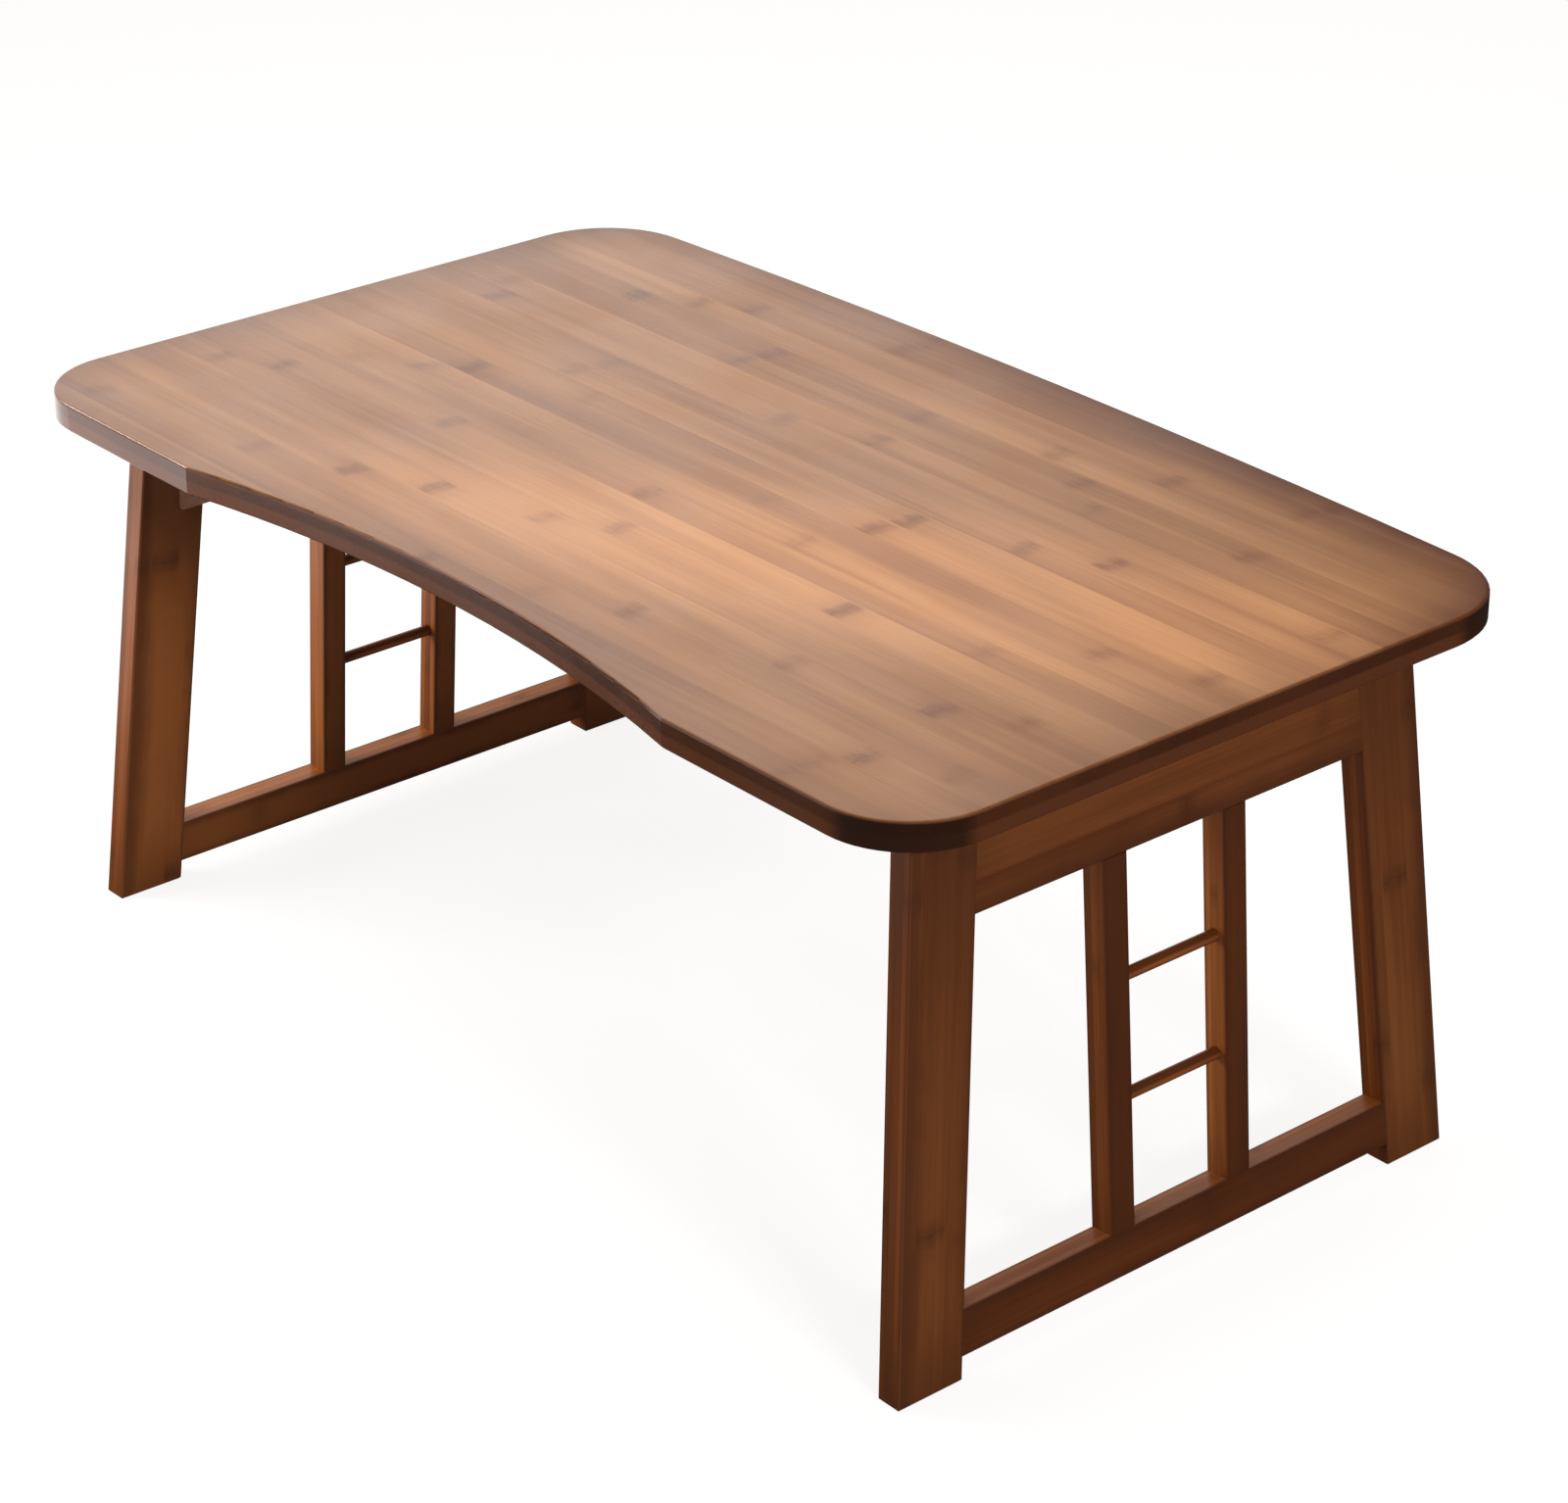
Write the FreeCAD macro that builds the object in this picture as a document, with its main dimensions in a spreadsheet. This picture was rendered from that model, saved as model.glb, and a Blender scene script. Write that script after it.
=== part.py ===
import FreeCAD, Part
import Sketcher
import math
import os

# A low folding table in laminated bamboo. A bowed board with an arch cut into its front edge
# rests on two latticed leg frames. Each frame hangs on two strap hinges, leans outward when it
# stands and folds flat under the board.
#
# Table axes: X along the board, Y from the arched front to the bowed back, Z up, origin on the
# floor under the middle of the board. A leg frame's own axes: X out of its outer face, Y along
# the rails, Z up the posts, origin on the outer face at the underside of the board.

# Driving dimensions, in millimetres and degrees. Shares are parts of one.
SIZES = {
    # board
    "board_length": 680,
    "board_depth": 403.5,
    "board_thickness": 15,
    "back_bow": 11.5,
    "front_corner_radius": 47,
    "back_corner_radius": 53,
    "arch_width": 370,
    "arch_depth": 20.5,
    "board_easing": 1.6,
    "underside_chamfer": 1.2,
    # leg frames
    "leg_height": 283,
    "leg_tilt": 4.45,
    "end_overhang": 39,
    "frame_setback": 197.8,
    "frame_thickness": 14,
    "frame_head_width": 311,
    "post_width": 38,
    "post_splay": 4.7,
    "post_easing": 1.2,
    "foot_chamfer": 1,
    "foot_length": 12,
    "top_rail_depth": 59,
    "bottom_rail_depth": 23.6,
    "mullion_width": 14.5,
    "mullion_gap": 61,
    "dowel_diameter": 6.2,
    "upper_dowel_share": 0.34,
    "lower_dowel_share": 0.66,
    "member_easing": 0.8,
    # joinery
    "tenon_thickness": 5,
    "rail_tenon_length": 20,
    "rail_tenon_shoulder": 4,
    "mullion_tenon_length": 10,
    "mullion_tenon_shoulder": 2.5,
    "dowel_seat": 7,
    "glue_gap": 0.5,
    "seat_fit": 0.05,
    # hinges
    "hinge_width": 34,
    "hinge_leaf_length": 56,
    "hinge_leaf_thickness": 1.5,
    "hinge_corner_radius": 2,
    "hinge_pin_diameter": 3,
    "knuckle_gap": 0.3,
    "barrel_clearance": 0.35,
    # hinge screws
    "screw_head_diameter": 6,
    "screw_shank_diameter": 3.2,
    "screw_length": 12,
    "screw_stagger": 18,
    "screw_near_row": 18,
    "screw_far_row": 44,
    # how far a cutting shape runs past what it cuts
    "cut_overrun": 5,
}

# Sizes and places that follow from the driving dimensions.
LAYOUT = {
    "front_y": "=-Sizes.board_depth / 2",
    "back_y": "=Sizes.board_depth / 2 - Sizes.back_bow",
    "board_half": "=Sizes.board_length / 2",
    "arch_half": "=Sizes.arch_width / 2",
    "arch_radius": "=(arch_half ^ 2 + Sizes.arch_depth ^ 2) / (2 * Sizes.arch_depth)",
    "bow_radius": "=(board_half ^ 2 + Sizes.back_bow ^ 2) / (2 * Sizes.back_bow)",
    "lean": "=tan(Sizes.leg_tilt)",
    "splay": "=tan(Sizes.post_splay)",
    "frame_x": "=board_half - Sizes.end_overhang",
    "frame_y": "=front_y + Sizes.frame_setback",
    "leg_length": "=Sizes.leg_height / cos(Sizes.leg_tilt)",
    "bevel_rise": "=Sizes.frame_thickness * lean",
    "mid_thickness": "=-Sizes.frame_thickness / 2",
    "tenon_half": "=Sizes.tenon_thickness / 2",
    "head_half": "=Sizes.frame_head_width / 2",
    "post_side": "=Sizes.post_width / cos(Sizes.post_splay)",
    "joint_half": "=head_half - post_side",
    "window_top": "=-Sizes.top_rail_depth",
    "rail_underside": "=Sizes.foot_length - leg_length",
    "window_bottom": "=rail_underside + Sizes.bottom_rail_depth",
    "window_height": "=window_top - window_bottom",
    "upper_dowel_z": "=window_top - Sizes.upper_dowel_share * window_height",
    "lower_dowel_z": "=window_top - Sizes.lower_dowel_share * window_height",
    "mullion_inner": "=Sizes.mullion_gap / 2",
    "mullion_outer": "=mullion_inner + Sizes.mullion_width",
    "top_tenon_low": "=window_top + Sizes.rail_tenon_shoulder",
    "top_tenon_high": "=-Sizes.rail_tenon_shoulder",
    "top_tenon_end": "=joint_half + splay * Sizes.top_rail_depth / 2 + Sizes.rail_tenon_length",
    "bottom_tenon_low": "=rail_underside + Sizes.rail_tenon_shoulder",
    "bottom_tenon_high": "=window_bottom - Sizes.rail_tenon_shoulder",
    "bottom_rail_half": "=joint_half - splay * (rail_underside + window_bottom) / 2",
    "bottom_tenon_end": "=bottom_rail_half + Sizes.rail_tenon_length",
    "dowel_radius": "=Sizes.dowel_diameter / 2",
    "pin_radius": "=Sizes.hinge_pin_diameter / 2",
    "bore_radius": "=pin_radius + Sizes.seat_fit",
    "barrel_radius": "=bore_radius + Sizes.hinge_leaf_thickness",
    "pin_offset": "=barrel_radius + Sizes.barrel_clearance",
    "pin_local_x": "=-Sizes.frame_thickness - pin_offset",
    "pin_local_z": "=-(pin_offset + pin_local_x * sin(Sizes.leg_tilt)) / cos(Sizes.leg_tilt)",
    "pin_x": "=frame_x + pin_local_x * cos(Sizes.leg_tilt) - pin_local_z * sin(Sizes.leg_tilt)",
    "hinge_y": "=joint_half + splay * Sizes.hinge_leaf_length / 2",
    "leaf_back": "=pin_offset - Sizes.hinge_leaf_thickness",
    "head_radius": "=Sizes.screw_head_diameter / 2",
    "shank_radius": "=Sizes.screw_shank_diameter / 2",
    "sink_angle": "=atan((head_radius - shank_radius) / Sizes.hinge_leaf_thickness)",
    "pilot_radius": "=shank_radius + Sizes.seat_fit",
    "pilot_depth": "=Sizes.screw_length - Sizes.hinge_leaf_thickness + Sizes.glue_gap",
}

SIDES = {"right": 1, "left": -1}
ENDS = {"front": -1, "back": 1}
KNUCKLES = 3
BOARD_KNUCKLES = (0, 2)
LEG_KNUCKLES = (1,)

# Two places this close together are one place, in millimetres.
SAME_PLACE = 0.0001
# An edge within this angle of an axis runs along it, in degrees.
ALONG_AXIS = 20


def fill_sheet(doc, name, rows):
    """Write one alias and its value or formula in each row of a new sheet."""
    sheet = doc.addObject("Spreadsheet::Sheet", name)
    for row, (alias, content) in enumerate(rows.items(), start=1):
        sheet.set("A%d" % row, alias)
        sheet.set("B%d" % row, str(content))
        sheet.setAlias("B%d" % row, alias)
    doc.recompute()
    return sheet


def placement(base="0; 0; 0", angles="0; 0; 0"):
    """Placement formula from a base point and a yaw, pitch and roll."""
    return "create(<<placement>>; create(<<vector>>; %s); create(<<rotation>>; %s))" % (base, angles)


def new_body(doc, label, place):
    body = doc.addObject("PartDesign::Body", label)
    body.Label = label
    body.setExpression("Placement", place)
    return body


def new_sketch(body, role, shift=None):
    """Sketch on an origin plane of the body, moved along the plane's normal where shift is given."""
    sketch = body.newObject("Sketcher::SketchObject", "Sketch")
    plane = next(item for item in body.Origin.OriginFeatures if item.Role == role)
    sketch.AttachmentSupport = [(plane, "")]
    sketch.MapMode = "FlatFace"
    if shift:
        sketch.setExpression("AttachmentOffset.Base.z", shift)
    return sketch


def pin_point(sketch, curve, end, across, up):
    """Hold one end of a curve at a place given by two formulas."""
    start = sketch.getPoint(curve, end)
    for kind, formula, value in (("DistanceX", across, start.x), ("DistanceY", up, start.y)):
        index = sketch.addConstraint(Sketcher.Constraint(kind, curve, end, value))
        sketch.setExpression("Constraints[%d]" % index, formula)


def add_polygon(sketch, corners):
    """Closed outline of straight edges. Each corner is a pair of formulas."""
    first = sketch.GeometryCount
    count = len(corners)
    step = 2 * math.pi / count
    ring = [FreeCAD.Vector(math.cos(step * i), math.sin(step * i), 0) for i in range(count)]
    for i in range(count):
        sketch.addGeometry(Part.LineSegment(ring[i], ring[(i + 1) % count]))
    for i in range(count):
        sketch.addConstraint(Sketcher.Constraint("Coincident", first + i, 2, first + (i + 1) % count, 1))
    for i, (across, up) in enumerate(corners):
        pin_point(sketch, first + i, 1, across, up)


def add_rectangle(sketch, low, high):
    """Rectangle between two corners, each a pair of formulas."""
    add_polygon(sketch, [(low[0], low[1]), (high[0], low[1]), (high[0], high[1]), (low[0], high[1])])


def add_circle(sketch, across, up, radius):
    curve = sketch.addGeometry(Part.Circle(FreeCAD.Vector(1, 1, 0), FreeCAD.Vector(0, 0, 1), 1))
    pin_point(sketch, curve, 3, across, up)
    index = sketch.addConstraint(Sketcher.Constraint("Radius", curve, 1.0))
    sketch.setExpression("Constraints[%d]" % index, radius)


def extrude(body, kind, sketch, length, side="One side", backwards=False):
    """Pad or pocket of a sketch."""
    feature = body.newObject("PartDesign::" + kind, kind)
    feature.Profile = sketch
    feature.SideType = side
    feature.Reversed = backwards
    feature.setExpression("Length", length)
    body.Document.recompute()
    return feature


def cut(body, sketch, length, side="One side", backwards=False):
    """Pocket that must take material away."""
    before = body.Shape.Volume
    feature = extrude(body, "Pocket", sketch, length, side, backwards)
    if body.Shape.Volume >= before:
        raise RuntimeError("a cut in %s removes nothing" % body.Label)
    return feature


def turn(body, sketch, axis):
    """Full turn of a sketch about one of its own axes."""
    feature = body.newObject("PartDesign::Revolution", "Revolution")
    feature.Profile = sketch
    feature.ReferenceAxis = (sketch, [axis])
    feature.Angle = 360
    body.Document.recompute()
    return feature


def break_edges(body, kind, size_property, wanted, size):
    """Fillet or chamfer on the edges of the body's tip that wanted() picks."""
    base = body.Tip
    names = ["Edge%d" % i for i, edge in enumerate(base.Shape.Edges, start=1) if wanted(edge)]
    feature = body.newObject("PartDesign::" + kind, kind)
    feature.Base = (base, names)
    feature.setExpression(size_property, size)
    body.Document.recompute()


def ease(body, wanted, radius):
    break_edges(body, "Fillet", "Radius", wanted, radius)


def chamfer(body, wanted, size):
    break_edges(body, "Chamfer", "Size", wanted, size)


def spans(edge, axis):
    """True where an edge is straight and runs along one axis of its body."""
    ends = edge.Vertexes
    if len(ends) != 2 or edge.Curve.TypeId != "Part::GeomLine":
        return False
    along = (ends[1].Point - ends[0].Point).normalize()
    return abs(along[axis]) > math.cos(math.radians(ALONG_AXIS))


def near(value, target):
    return abs(value - target) < SAME_PLACE


def on_a_face(edge, thickness):
    """True where an edge lies in the outer or the inner face of a leg frame."""
    box = edge.BoundBox
    return near(box.XMin, box.XMax) and (near(box.XMin, 0) or near(box.XMin, -thickness))


def outline_board(sketch, sizes, layout):
    """Board outline: straight front and ends, an arch in the front and a bowed back."""
    half = layout.get("board_half")
    arch = layout.get("arch_half")
    front = layout.get("front_y")
    back = layout.get("back_y")
    corners = [(-half, front), (-arch, front), (arch, front), (half, front), (half, back), (-half, back)]
    points = [FreeCAD.Vector(x, y, 0) for x, y in corners]
    arch_top = FreeCAD.Vector(0, front + sizes.get("arch_depth"), 0)
    bow_top = FreeCAD.Vector(0, back + sizes.get("back_bow"), 0)
    sketch.addGeometry(Part.LineSegment(points[0], points[1]))
    sketch.addGeometry(Part.Arc(points[1], arch_top, points[2]))
    sketch.addGeometry(Part.LineSegment(points[2], points[3]))
    sketch.addGeometry(Part.LineSegment(points[3], points[4]))
    sketch.addGeometry(Part.Arc(points[4], bow_top, points[5]))
    sketch.addGeometry(Part.LineSegment(points[5], points[0]))
    # A sketch turns every arc anticlockwise, so the arch starts at its right-hand end.
    joints = [(0, 2, 1, 2), (1, 1, 2, 1), (2, 2, 3, 1), (3, 2, 4, 1), (4, 2, 5, 1), (5, 2, 0, 1)]
    for first, first_end, second, second_end in joints:
        sketch.addConstraint(Sketcher.Constraint("Coincident", first, first_end, second, second_end))
    pin_point(sketch, 0, 1, "-Layout.board_half", "Layout.front_y")
    pin_point(sketch, 0, 2, "-Layout.arch_half", "Layout.front_y")
    pin_point(sketch, 2, 1, "Layout.arch_half", "Layout.front_y")
    pin_point(sketch, 3, 1, "Layout.board_half", "Layout.front_y")
    pin_point(sketch, 4, 1, "Layout.board_half", "Layout.back_y")
    pin_point(sketch, 5, 1, "-Layout.board_half", "Layout.back_y")
    for curve, radius in ((1, "Layout.arch_radius"), (4, "Layout.bow_radius")):
        index = sketch.addConstraint(Sketcher.Constraint("Radius", curve, sketch.Geometry[curve].Radius))
        sketch.setExpression("Constraints[%d]" % index, radius)


def build_tabletop(doc, sizes, layout):
    body = new_body(doc, "tabletop", placement("0; 0; Sizes.leg_height"))
    sketch = new_sketch(body, "XY_Plane")
    outline_board(sketch, sizes, layout)
    extrude(body, "Pad", sketch, "Sizes.board_thickness")
    half = layout.get("board_half")
    front = layout.get("front_y")
    back = layout.get("back_y")
    thickness = sizes.get("board_thickness")

    def at_corner(edge, y):
        point = edge.Vertexes[0].Point
        return spans(edge, 2) and near(abs(point.x), half) and near(point.y, y)

    def at_height(edge, height):
        return near(edge.BoundBox.ZMin, height) and near(edge.BoundBox.ZMax, height)

    ease(body, lambda edge: at_corner(edge, front), "Sizes.front_corner_radius")
    ease(body, lambda edge: at_corner(edge, back), "Sizes.back_corner_radius")
    ease(body, lambda edge: at_height(edge, thickness), "Sizes.board_easing")
    chamfer(body, lambda edge: at_height(edge, 0), "Sizes.underside_chamfer")
    pilots = new_sketch(body, "XY_Plane")
    for side in SIDES.values():
        for x, y in board_screw_spots(side):
            add_circle(pilots, x, y, "Layout.pilot_radius")
    cut(body, pilots, "Layout.pilot_depth", backwards=True)
    return body


def staggered_rows(outward):
    """A leaf's screws, as formulas: how far each stands from the pin, and how far to the side of
    the leaf's middle. The near screw is on the side that outward (-1 or 1) names."""
    return [
        ("Sizes.screw_near_row", "%d * Sizes.screw_stagger / 2" % outward),
        ("Sizes.screw_far_row", "%d * Sizes.screw_stagger / 2" % -outward),
    ]


def board_screw_spots(side):
    """X and Y of the screws that hold one leg frame's hinges to the board, as formulas."""
    spots = []
    for across in ENDS.values():
        for row, offset in staggered_rows(across):
            x = "%d * (Layout.pin_x - %s)" % (side, row)
            spots.append((x, "Layout.frame_y + %d * Layout.hinge_y + %s" % (across, offset)))
    return spots


def leg_screw_spots(across):
    """Y and Z of one hinge's screws in a leg frame's own axes, as formulas. The near screw comes first."""
    spots = []
    for row, offset in staggered_rows(across):
        spots.append(("%d * Layout.hinge_y + %s" % (across, offset), "Layout.pin_local_z - %s" % row))
    return spots


def drill_pilots(body, spots):
    """Blind screw holes from the inner face of a leg frame."""
    sketch = new_sketch(body, "YZ_Plane", "-Sizes.frame_thickness - Sizes.cut_overrun")
    for y, z in spots:
        add_circle(sketch, y, z, "Layout.pilot_radius")
    cut(body, sketch, "Layout.pilot_depth + Sizes.cut_overrun", backwards=True)


def saw_end(body, height, waste):
    """Level saw cut across a leaning member, with the waste above (1) or below (-1) the cut."""
    inner = "-Sizes.frame_thickness - Sizes.cut_overrun"
    outer = "Sizes.cut_overrun"
    corners = []
    for x, lift in ((inner, 0), (outer, 0), (outer, 2), (inner, 2)):
        corners.append((x, "%s - (%s) * Layout.lean + %d * Sizes.cut_overrun" % (height, x, waste * lift)))
    sketch = new_sketch(body, "XZ_Plane")
    add_polygon(sketch, corners)
    cut(body, sketch, "2 * (Layout.head_half + Layout.leg_length)", side="Symmetric")


def build_post(doc, label, place, side, sizes):
    """Splayed post, mortised for both rails. side is the side of the frame it stands on, -1 or 1."""
    body = new_body(doc, label, place)
    top = "(Layout.bevel_rise + Sizes.cut_overrun)"
    foot = "(-Layout.leg_length - Sizes.cut_overrun)"
    sketch = new_sketch(body, "YZ_Plane")
    add_polygon(sketch, [
        ("%d * (Layout.head_half - Layout.splay * %s)" % (side, top), top),
        ("%d * (Layout.joint_half - Layout.splay * %s)" % (side, top), top),
        ("%d * (Layout.joint_half - Layout.splay * %s)" % (side, foot), foot),
        ("%d * (Layout.head_half - Layout.splay * %s)" % (side, foot), foot),
    ])
    extrude(body, "Pad", sketch, "Sizes.frame_thickness", backwards=True)
    saw_end(body, "0", 1)
    saw_end(body, "-Layout.leg_length", -1)
    for rail in ("top", "bottom"):
        sketch = new_sketch(body, "XZ_Plane")
        add_tenon_section(sketch, rail)
        cut(body, sketch, "Layout.%s_tenon_end + Sizes.glue_gap" % rail, backwards=side < 0)
    drill_pilots(body, leg_screw_spots(side)[:1])
    thickness = sizes.get("frame_thickness")
    height = sizes.get("leg_height")
    outside = sizes.get("frame_head_width") / 2 - sizes.get("post_width") / 2

    def is_outer_arris(edge):
        box = edge.BoundBox
        is_long = spans(edge, 2) and box.ZLength > height / 2
        return is_long and on_a_face(edge, thickness) and abs(box.Center.y) > outside

    ease(body, is_outer_arris, "Sizes.post_easing")
    chamfer(body, lambda edge: edge.BoundBox.ZMax < -height + thickness / 2, "Sizes.foot_chamfer")
    return body


def add_tenon_section(sketch, rail):
    """Section of a rail's tenon in the frame's thickness."""
    add_rectangle(
        sketch,
        ("Layout.mid_thickness - Layout.tenon_half", "Layout.%s_tenon_low" % rail),
        ("Layout.mid_thickness + Layout.tenon_half", "Layout.%s_tenon_high" % rail),
    )


def build_rail(doc, label, place, rail, low, high):
    """Cross rail between the posts' inner edges, with a tenon right through it and out of both ends."""
    body = new_body(doc, label, place)
    sketch = new_sketch(body, "YZ_Plane")
    add_polygon(sketch, [
        ("Layout.joint_half - Layout.splay * (%s)" % low, low),
        ("Layout.joint_half - Layout.splay * (%s)" % high, high),
        ("Layout.splay * (%s) - Layout.joint_half" % high, high),
        ("Layout.splay * (%s) - Layout.joint_half" % low, low),
    ])
    extrude(body, "Pad", sketch, "Sizes.frame_thickness", backwards=True)
    sketch = new_sketch(body, "XZ_Plane")
    add_tenon_section(sketch, rail)
    extrude(body, "Pad", sketch, "2 * Layout.%s_tenon_end" % rail, side="Symmetric")
    return body


def cut_mullion_mortises(body, window_edge, upward):
    """Two mortises for the mullions, cut into a rail from the window."""
    sketch = new_sketch(body, "XY_Plane", window_edge)
    for side in (-1, 1):
        add_rectangle(
            sketch,
            ("Layout.mid_thickness - Layout.tenon_half",
             "%d * (Layout.mullion_inner + Sizes.mullion_tenon_shoulder)" % side),
            ("Layout.mid_thickness + Layout.tenon_half",
             "%d * (Layout.mullion_outer - Sizes.mullion_tenon_shoulder)" % side),
        )
    cut(body, sketch, "Sizes.mullion_tenon_length + Sizes.glue_gap", backwards=upward)


def ease_rail(body, heights, sizes):
    """Soften the long edges of a rail at the given heights."""
    thickness = sizes.get("frame_thickness")

    def is_long_arris(edge):
        at_height = any(near(edge.BoundBox.ZMin, height) for height in heights)
        return spans(edge, 1) and on_a_face(edge, thickness) and at_height

    ease(body, is_long_arris, "Sizes.member_easing")


def build_top_rail(doc, label, place, sizes, layout):
    high = "Layout.bevel_rise + Sizes.cut_overrun"
    body = build_rail(doc, label, place, "top", "Layout.window_top", high)
    saw_end(body, "0", 1)
    cut_mullion_mortises(body, "Layout.window_top", upward=True)
    drill_pilots(body, leg_screw_spots(-1) + leg_screw_spots(1))
    ease_rail(body, [layout.get("window_top")], sizes)
    return body


def build_bottom_rail(doc, label, place, sizes, layout):
    body = build_rail(doc, label, place, "bottom", "Layout.rail_underside", "Layout.window_bottom")
    cut_mullion_mortises(body, "Layout.window_bottom", upward=False)
    ease_rail(body, [layout.get("window_bottom"), layout.get("rail_underside")], sizes)
    return body


def build_mullion(doc, label, place, side, sizes):
    """Upright between the rails, tenoned at both ends and bored for the dowels."""
    body = new_body(doc, label, place)
    sketch = new_sketch(body, "YZ_Plane")
    add_rectangle(
        sketch,
        ("%d * Layout.mullion_inner" % side, "Layout.window_bottom"),
        ("%d * Layout.mullion_outer" % side, "Layout.window_top"),
    )
    extrude(body, "Pad", sketch, "Sizes.frame_thickness", backwards=True)
    sketch = new_sketch(body, "YZ_Plane", "Layout.mid_thickness")
    add_rectangle(
        sketch,
        ("%d * (Layout.mullion_inner + Sizes.mullion_tenon_shoulder)" % side,
         "Layout.window_bottom - Sizes.mullion_tenon_length"),
        ("%d * (Layout.mullion_outer - Sizes.mullion_tenon_shoulder)" % side,
         "Layout.window_top + Sizes.mullion_tenon_length"),
    )
    extrude(body, "Pad", sketch, "Sizes.tenon_thickness", side="Symmetric")
    sketch = new_sketch(body, "XZ_Plane")
    for height in ("Layout.upper_dowel_z", "Layout.lower_dowel_z"):
        add_circle(sketch, "Layout.mid_thickness", height, "Layout.dowel_radius + Sizes.seat_fit")
    cut(body, sketch, "Layout.mullion_inner + Sizes.dowel_seat + Sizes.glue_gap", backwards=side < 0)
    thickness = sizes.get("frame_thickness")
    ease(body, lambda edge: spans(edge, 2) and on_a_face(edge, thickness), "Sizes.member_easing")
    return body


def build_dowel(doc, label, place, height):
    """Round rung between the mullions."""
    body = new_body(doc, label, place)
    sketch = new_sketch(body, "XZ_Plane")
    add_circle(sketch, "Layout.mid_thickness", height, "Layout.dowel_radius")
    extrude(body, "Pad", sketch, "2 * (Layout.mullion_inner + Sizes.dowel_seat)", side="Symmetric")
    return body


def knuckle_ends(index):
    """Both ends of one knuckle along the pin, as formulas, with the gaps to its neighbours."""
    low = "Sizes.hinge_width * (%d / %d - 0.5)" % (index, KNUCKLES)
    high = "Sizes.hinge_width * (%d / %d - 0.5)" % (index + 1, KNUCKLES)
    if index > 0:
        low += " + Sizes.knuckle_gap / 2"
    if index < KNUCKLES - 1:
        high += " - Sizes.knuckle_gap / 2"
    return low, high


def build_leaf(doc, label, place, knuckles, outward, sizes):
    """Hinge leaf. The pin runs along Y through the origin, the leaf hangs down from it and its
    screwed face looks along X. outward is the side of its near screw, -1 or 1."""
    body = new_body(doc, label, place)
    sketch = new_sketch(body, "YZ_Plane", "Layout.leaf_back")
    add_rectangle(
        sketch,
        ("-Sizes.hinge_width / 2", "-Sizes.hinge_leaf_length"),
        ("Sizes.hinge_width / 2", "-Layout.pin_offset"),
    )
    extrude(body, "Pad", sketch, "Sizes.hinge_leaf_thickness")
    straps = new_sketch(body, "YZ_Plane", "Layout.leaf_back")
    barrel = new_sketch(body, "YZ_Plane")
    for index in knuckles:
        low, high = knuckle_ends(index)
        add_rectangle(straps, (low, "-Layout.pin_offset"), (high, "0"))
        add_rectangle(barrel, (low, "Layout.bore_radius"), (high, "Layout.barrel_radius"))
    extrude(body, "Pad", straps, "Sizes.hinge_leaf_thickness")
    turn(body, barrel, "H_Axis")
    length = sizes.get("hinge_leaf_length")
    ease(body, lambda edge: spans(edge, 0) and near(edge.BoundBox.ZMin, -length), "Sizes.hinge_corner_radius")
    sink = new_sketch(body, "YZ_Plane", "Layout.leaf_back")
    for row, offset in staggered_rows(outward):
        add_circle(sink, offset, "-" + row, "Layout.head_radius")
    countersink = cut(body, sink, "Sizes.hinge_leaf_thickness", backwards=True)
    countersink.setExpression("TaperAngle", "-Layout.sink_angle")
    doc.recompute()
    return body


def build_pin(doc, label, place):
    """Hinge pin, as long as the barrel."""
    body = new_body(doc, label, place)
    sketch = new_sketch(body, "XZ_Plane")
    add_circle(sketch, "0", "0", "Layout.pin_radius")
    extrude(body, "Pad", sketch, "Sizes.hinge_width", side="Symmetric")
    return body


def build_screw(doc):
    """Countersunk screw pointing up, with the flat of its head at the origin."""
    body = new_body(doc, "hinge_screw", placement())
    sketch = new_sketch(body, "XZ_Plane")
    add_polygon(sketch, [
        ("0", "0"),
        ("Layout.head_radius", "0"),
        ("Layout.shank_radius", "Sizes.hinge_leaf_thickness"),
        ("Layout.shank_radius", "Sizes.screw_length"),
        ("0", "Sizes.screw_length"),
    ])
    turn(body, sketch, "V_Axis")
    return body


def group_screws(doc, label, screw, places):
    """One node of loose copies of the screw."""
    copies = []
    for place in places:
        copy = doc.addObject("App::Link", label + "_copy")
        copy.LinkedObject = screw
        copy.setExpression("Placement", place)
        copies.append(copy)
    group = doc.addObject("Part::Compound", label)
    group.Label = label
    group.Links = copies
    doc.recompute()
    return group


def frame_place(side):
    """Placement of a leg frame. The left one is the right one turned half round."""
    yaw = "0" if side > 0 else "180"
    base = "%d * Layout.frame_x; Layout.frame_y; Sizes.leg_height" % side
    return placement(base, "%s; -Sizes.leg_tilt; 0" % yaw)


def build_frame(doc, name, side, sizes, layout):
    """Wooden members of one leg frame."""
    place = frame_place(side)
    members = [
        build_top_rail(doc, name + "_top_rail", place, sizes, layout),
        build_bottom_rail(doc, name + "_bottom_rail", place, sizes, layout),
        build_dowel(doc, name + "_upper_dowel", place, "Layout.upper_dowel_z"),
        build_dowel(doc, name + "_lower_dowel", place, "Layout.lower_dowel_z"),
    ]
    for end, across in ENDS.items():
        members.append(build_post(doc, "%s_%s_post" % (name, end), place, across * side, sizes))
        members.append(build_mullion(doc, "%s_%s_mullion" % (name, end), place, across * side, sizes))
    return members


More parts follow.
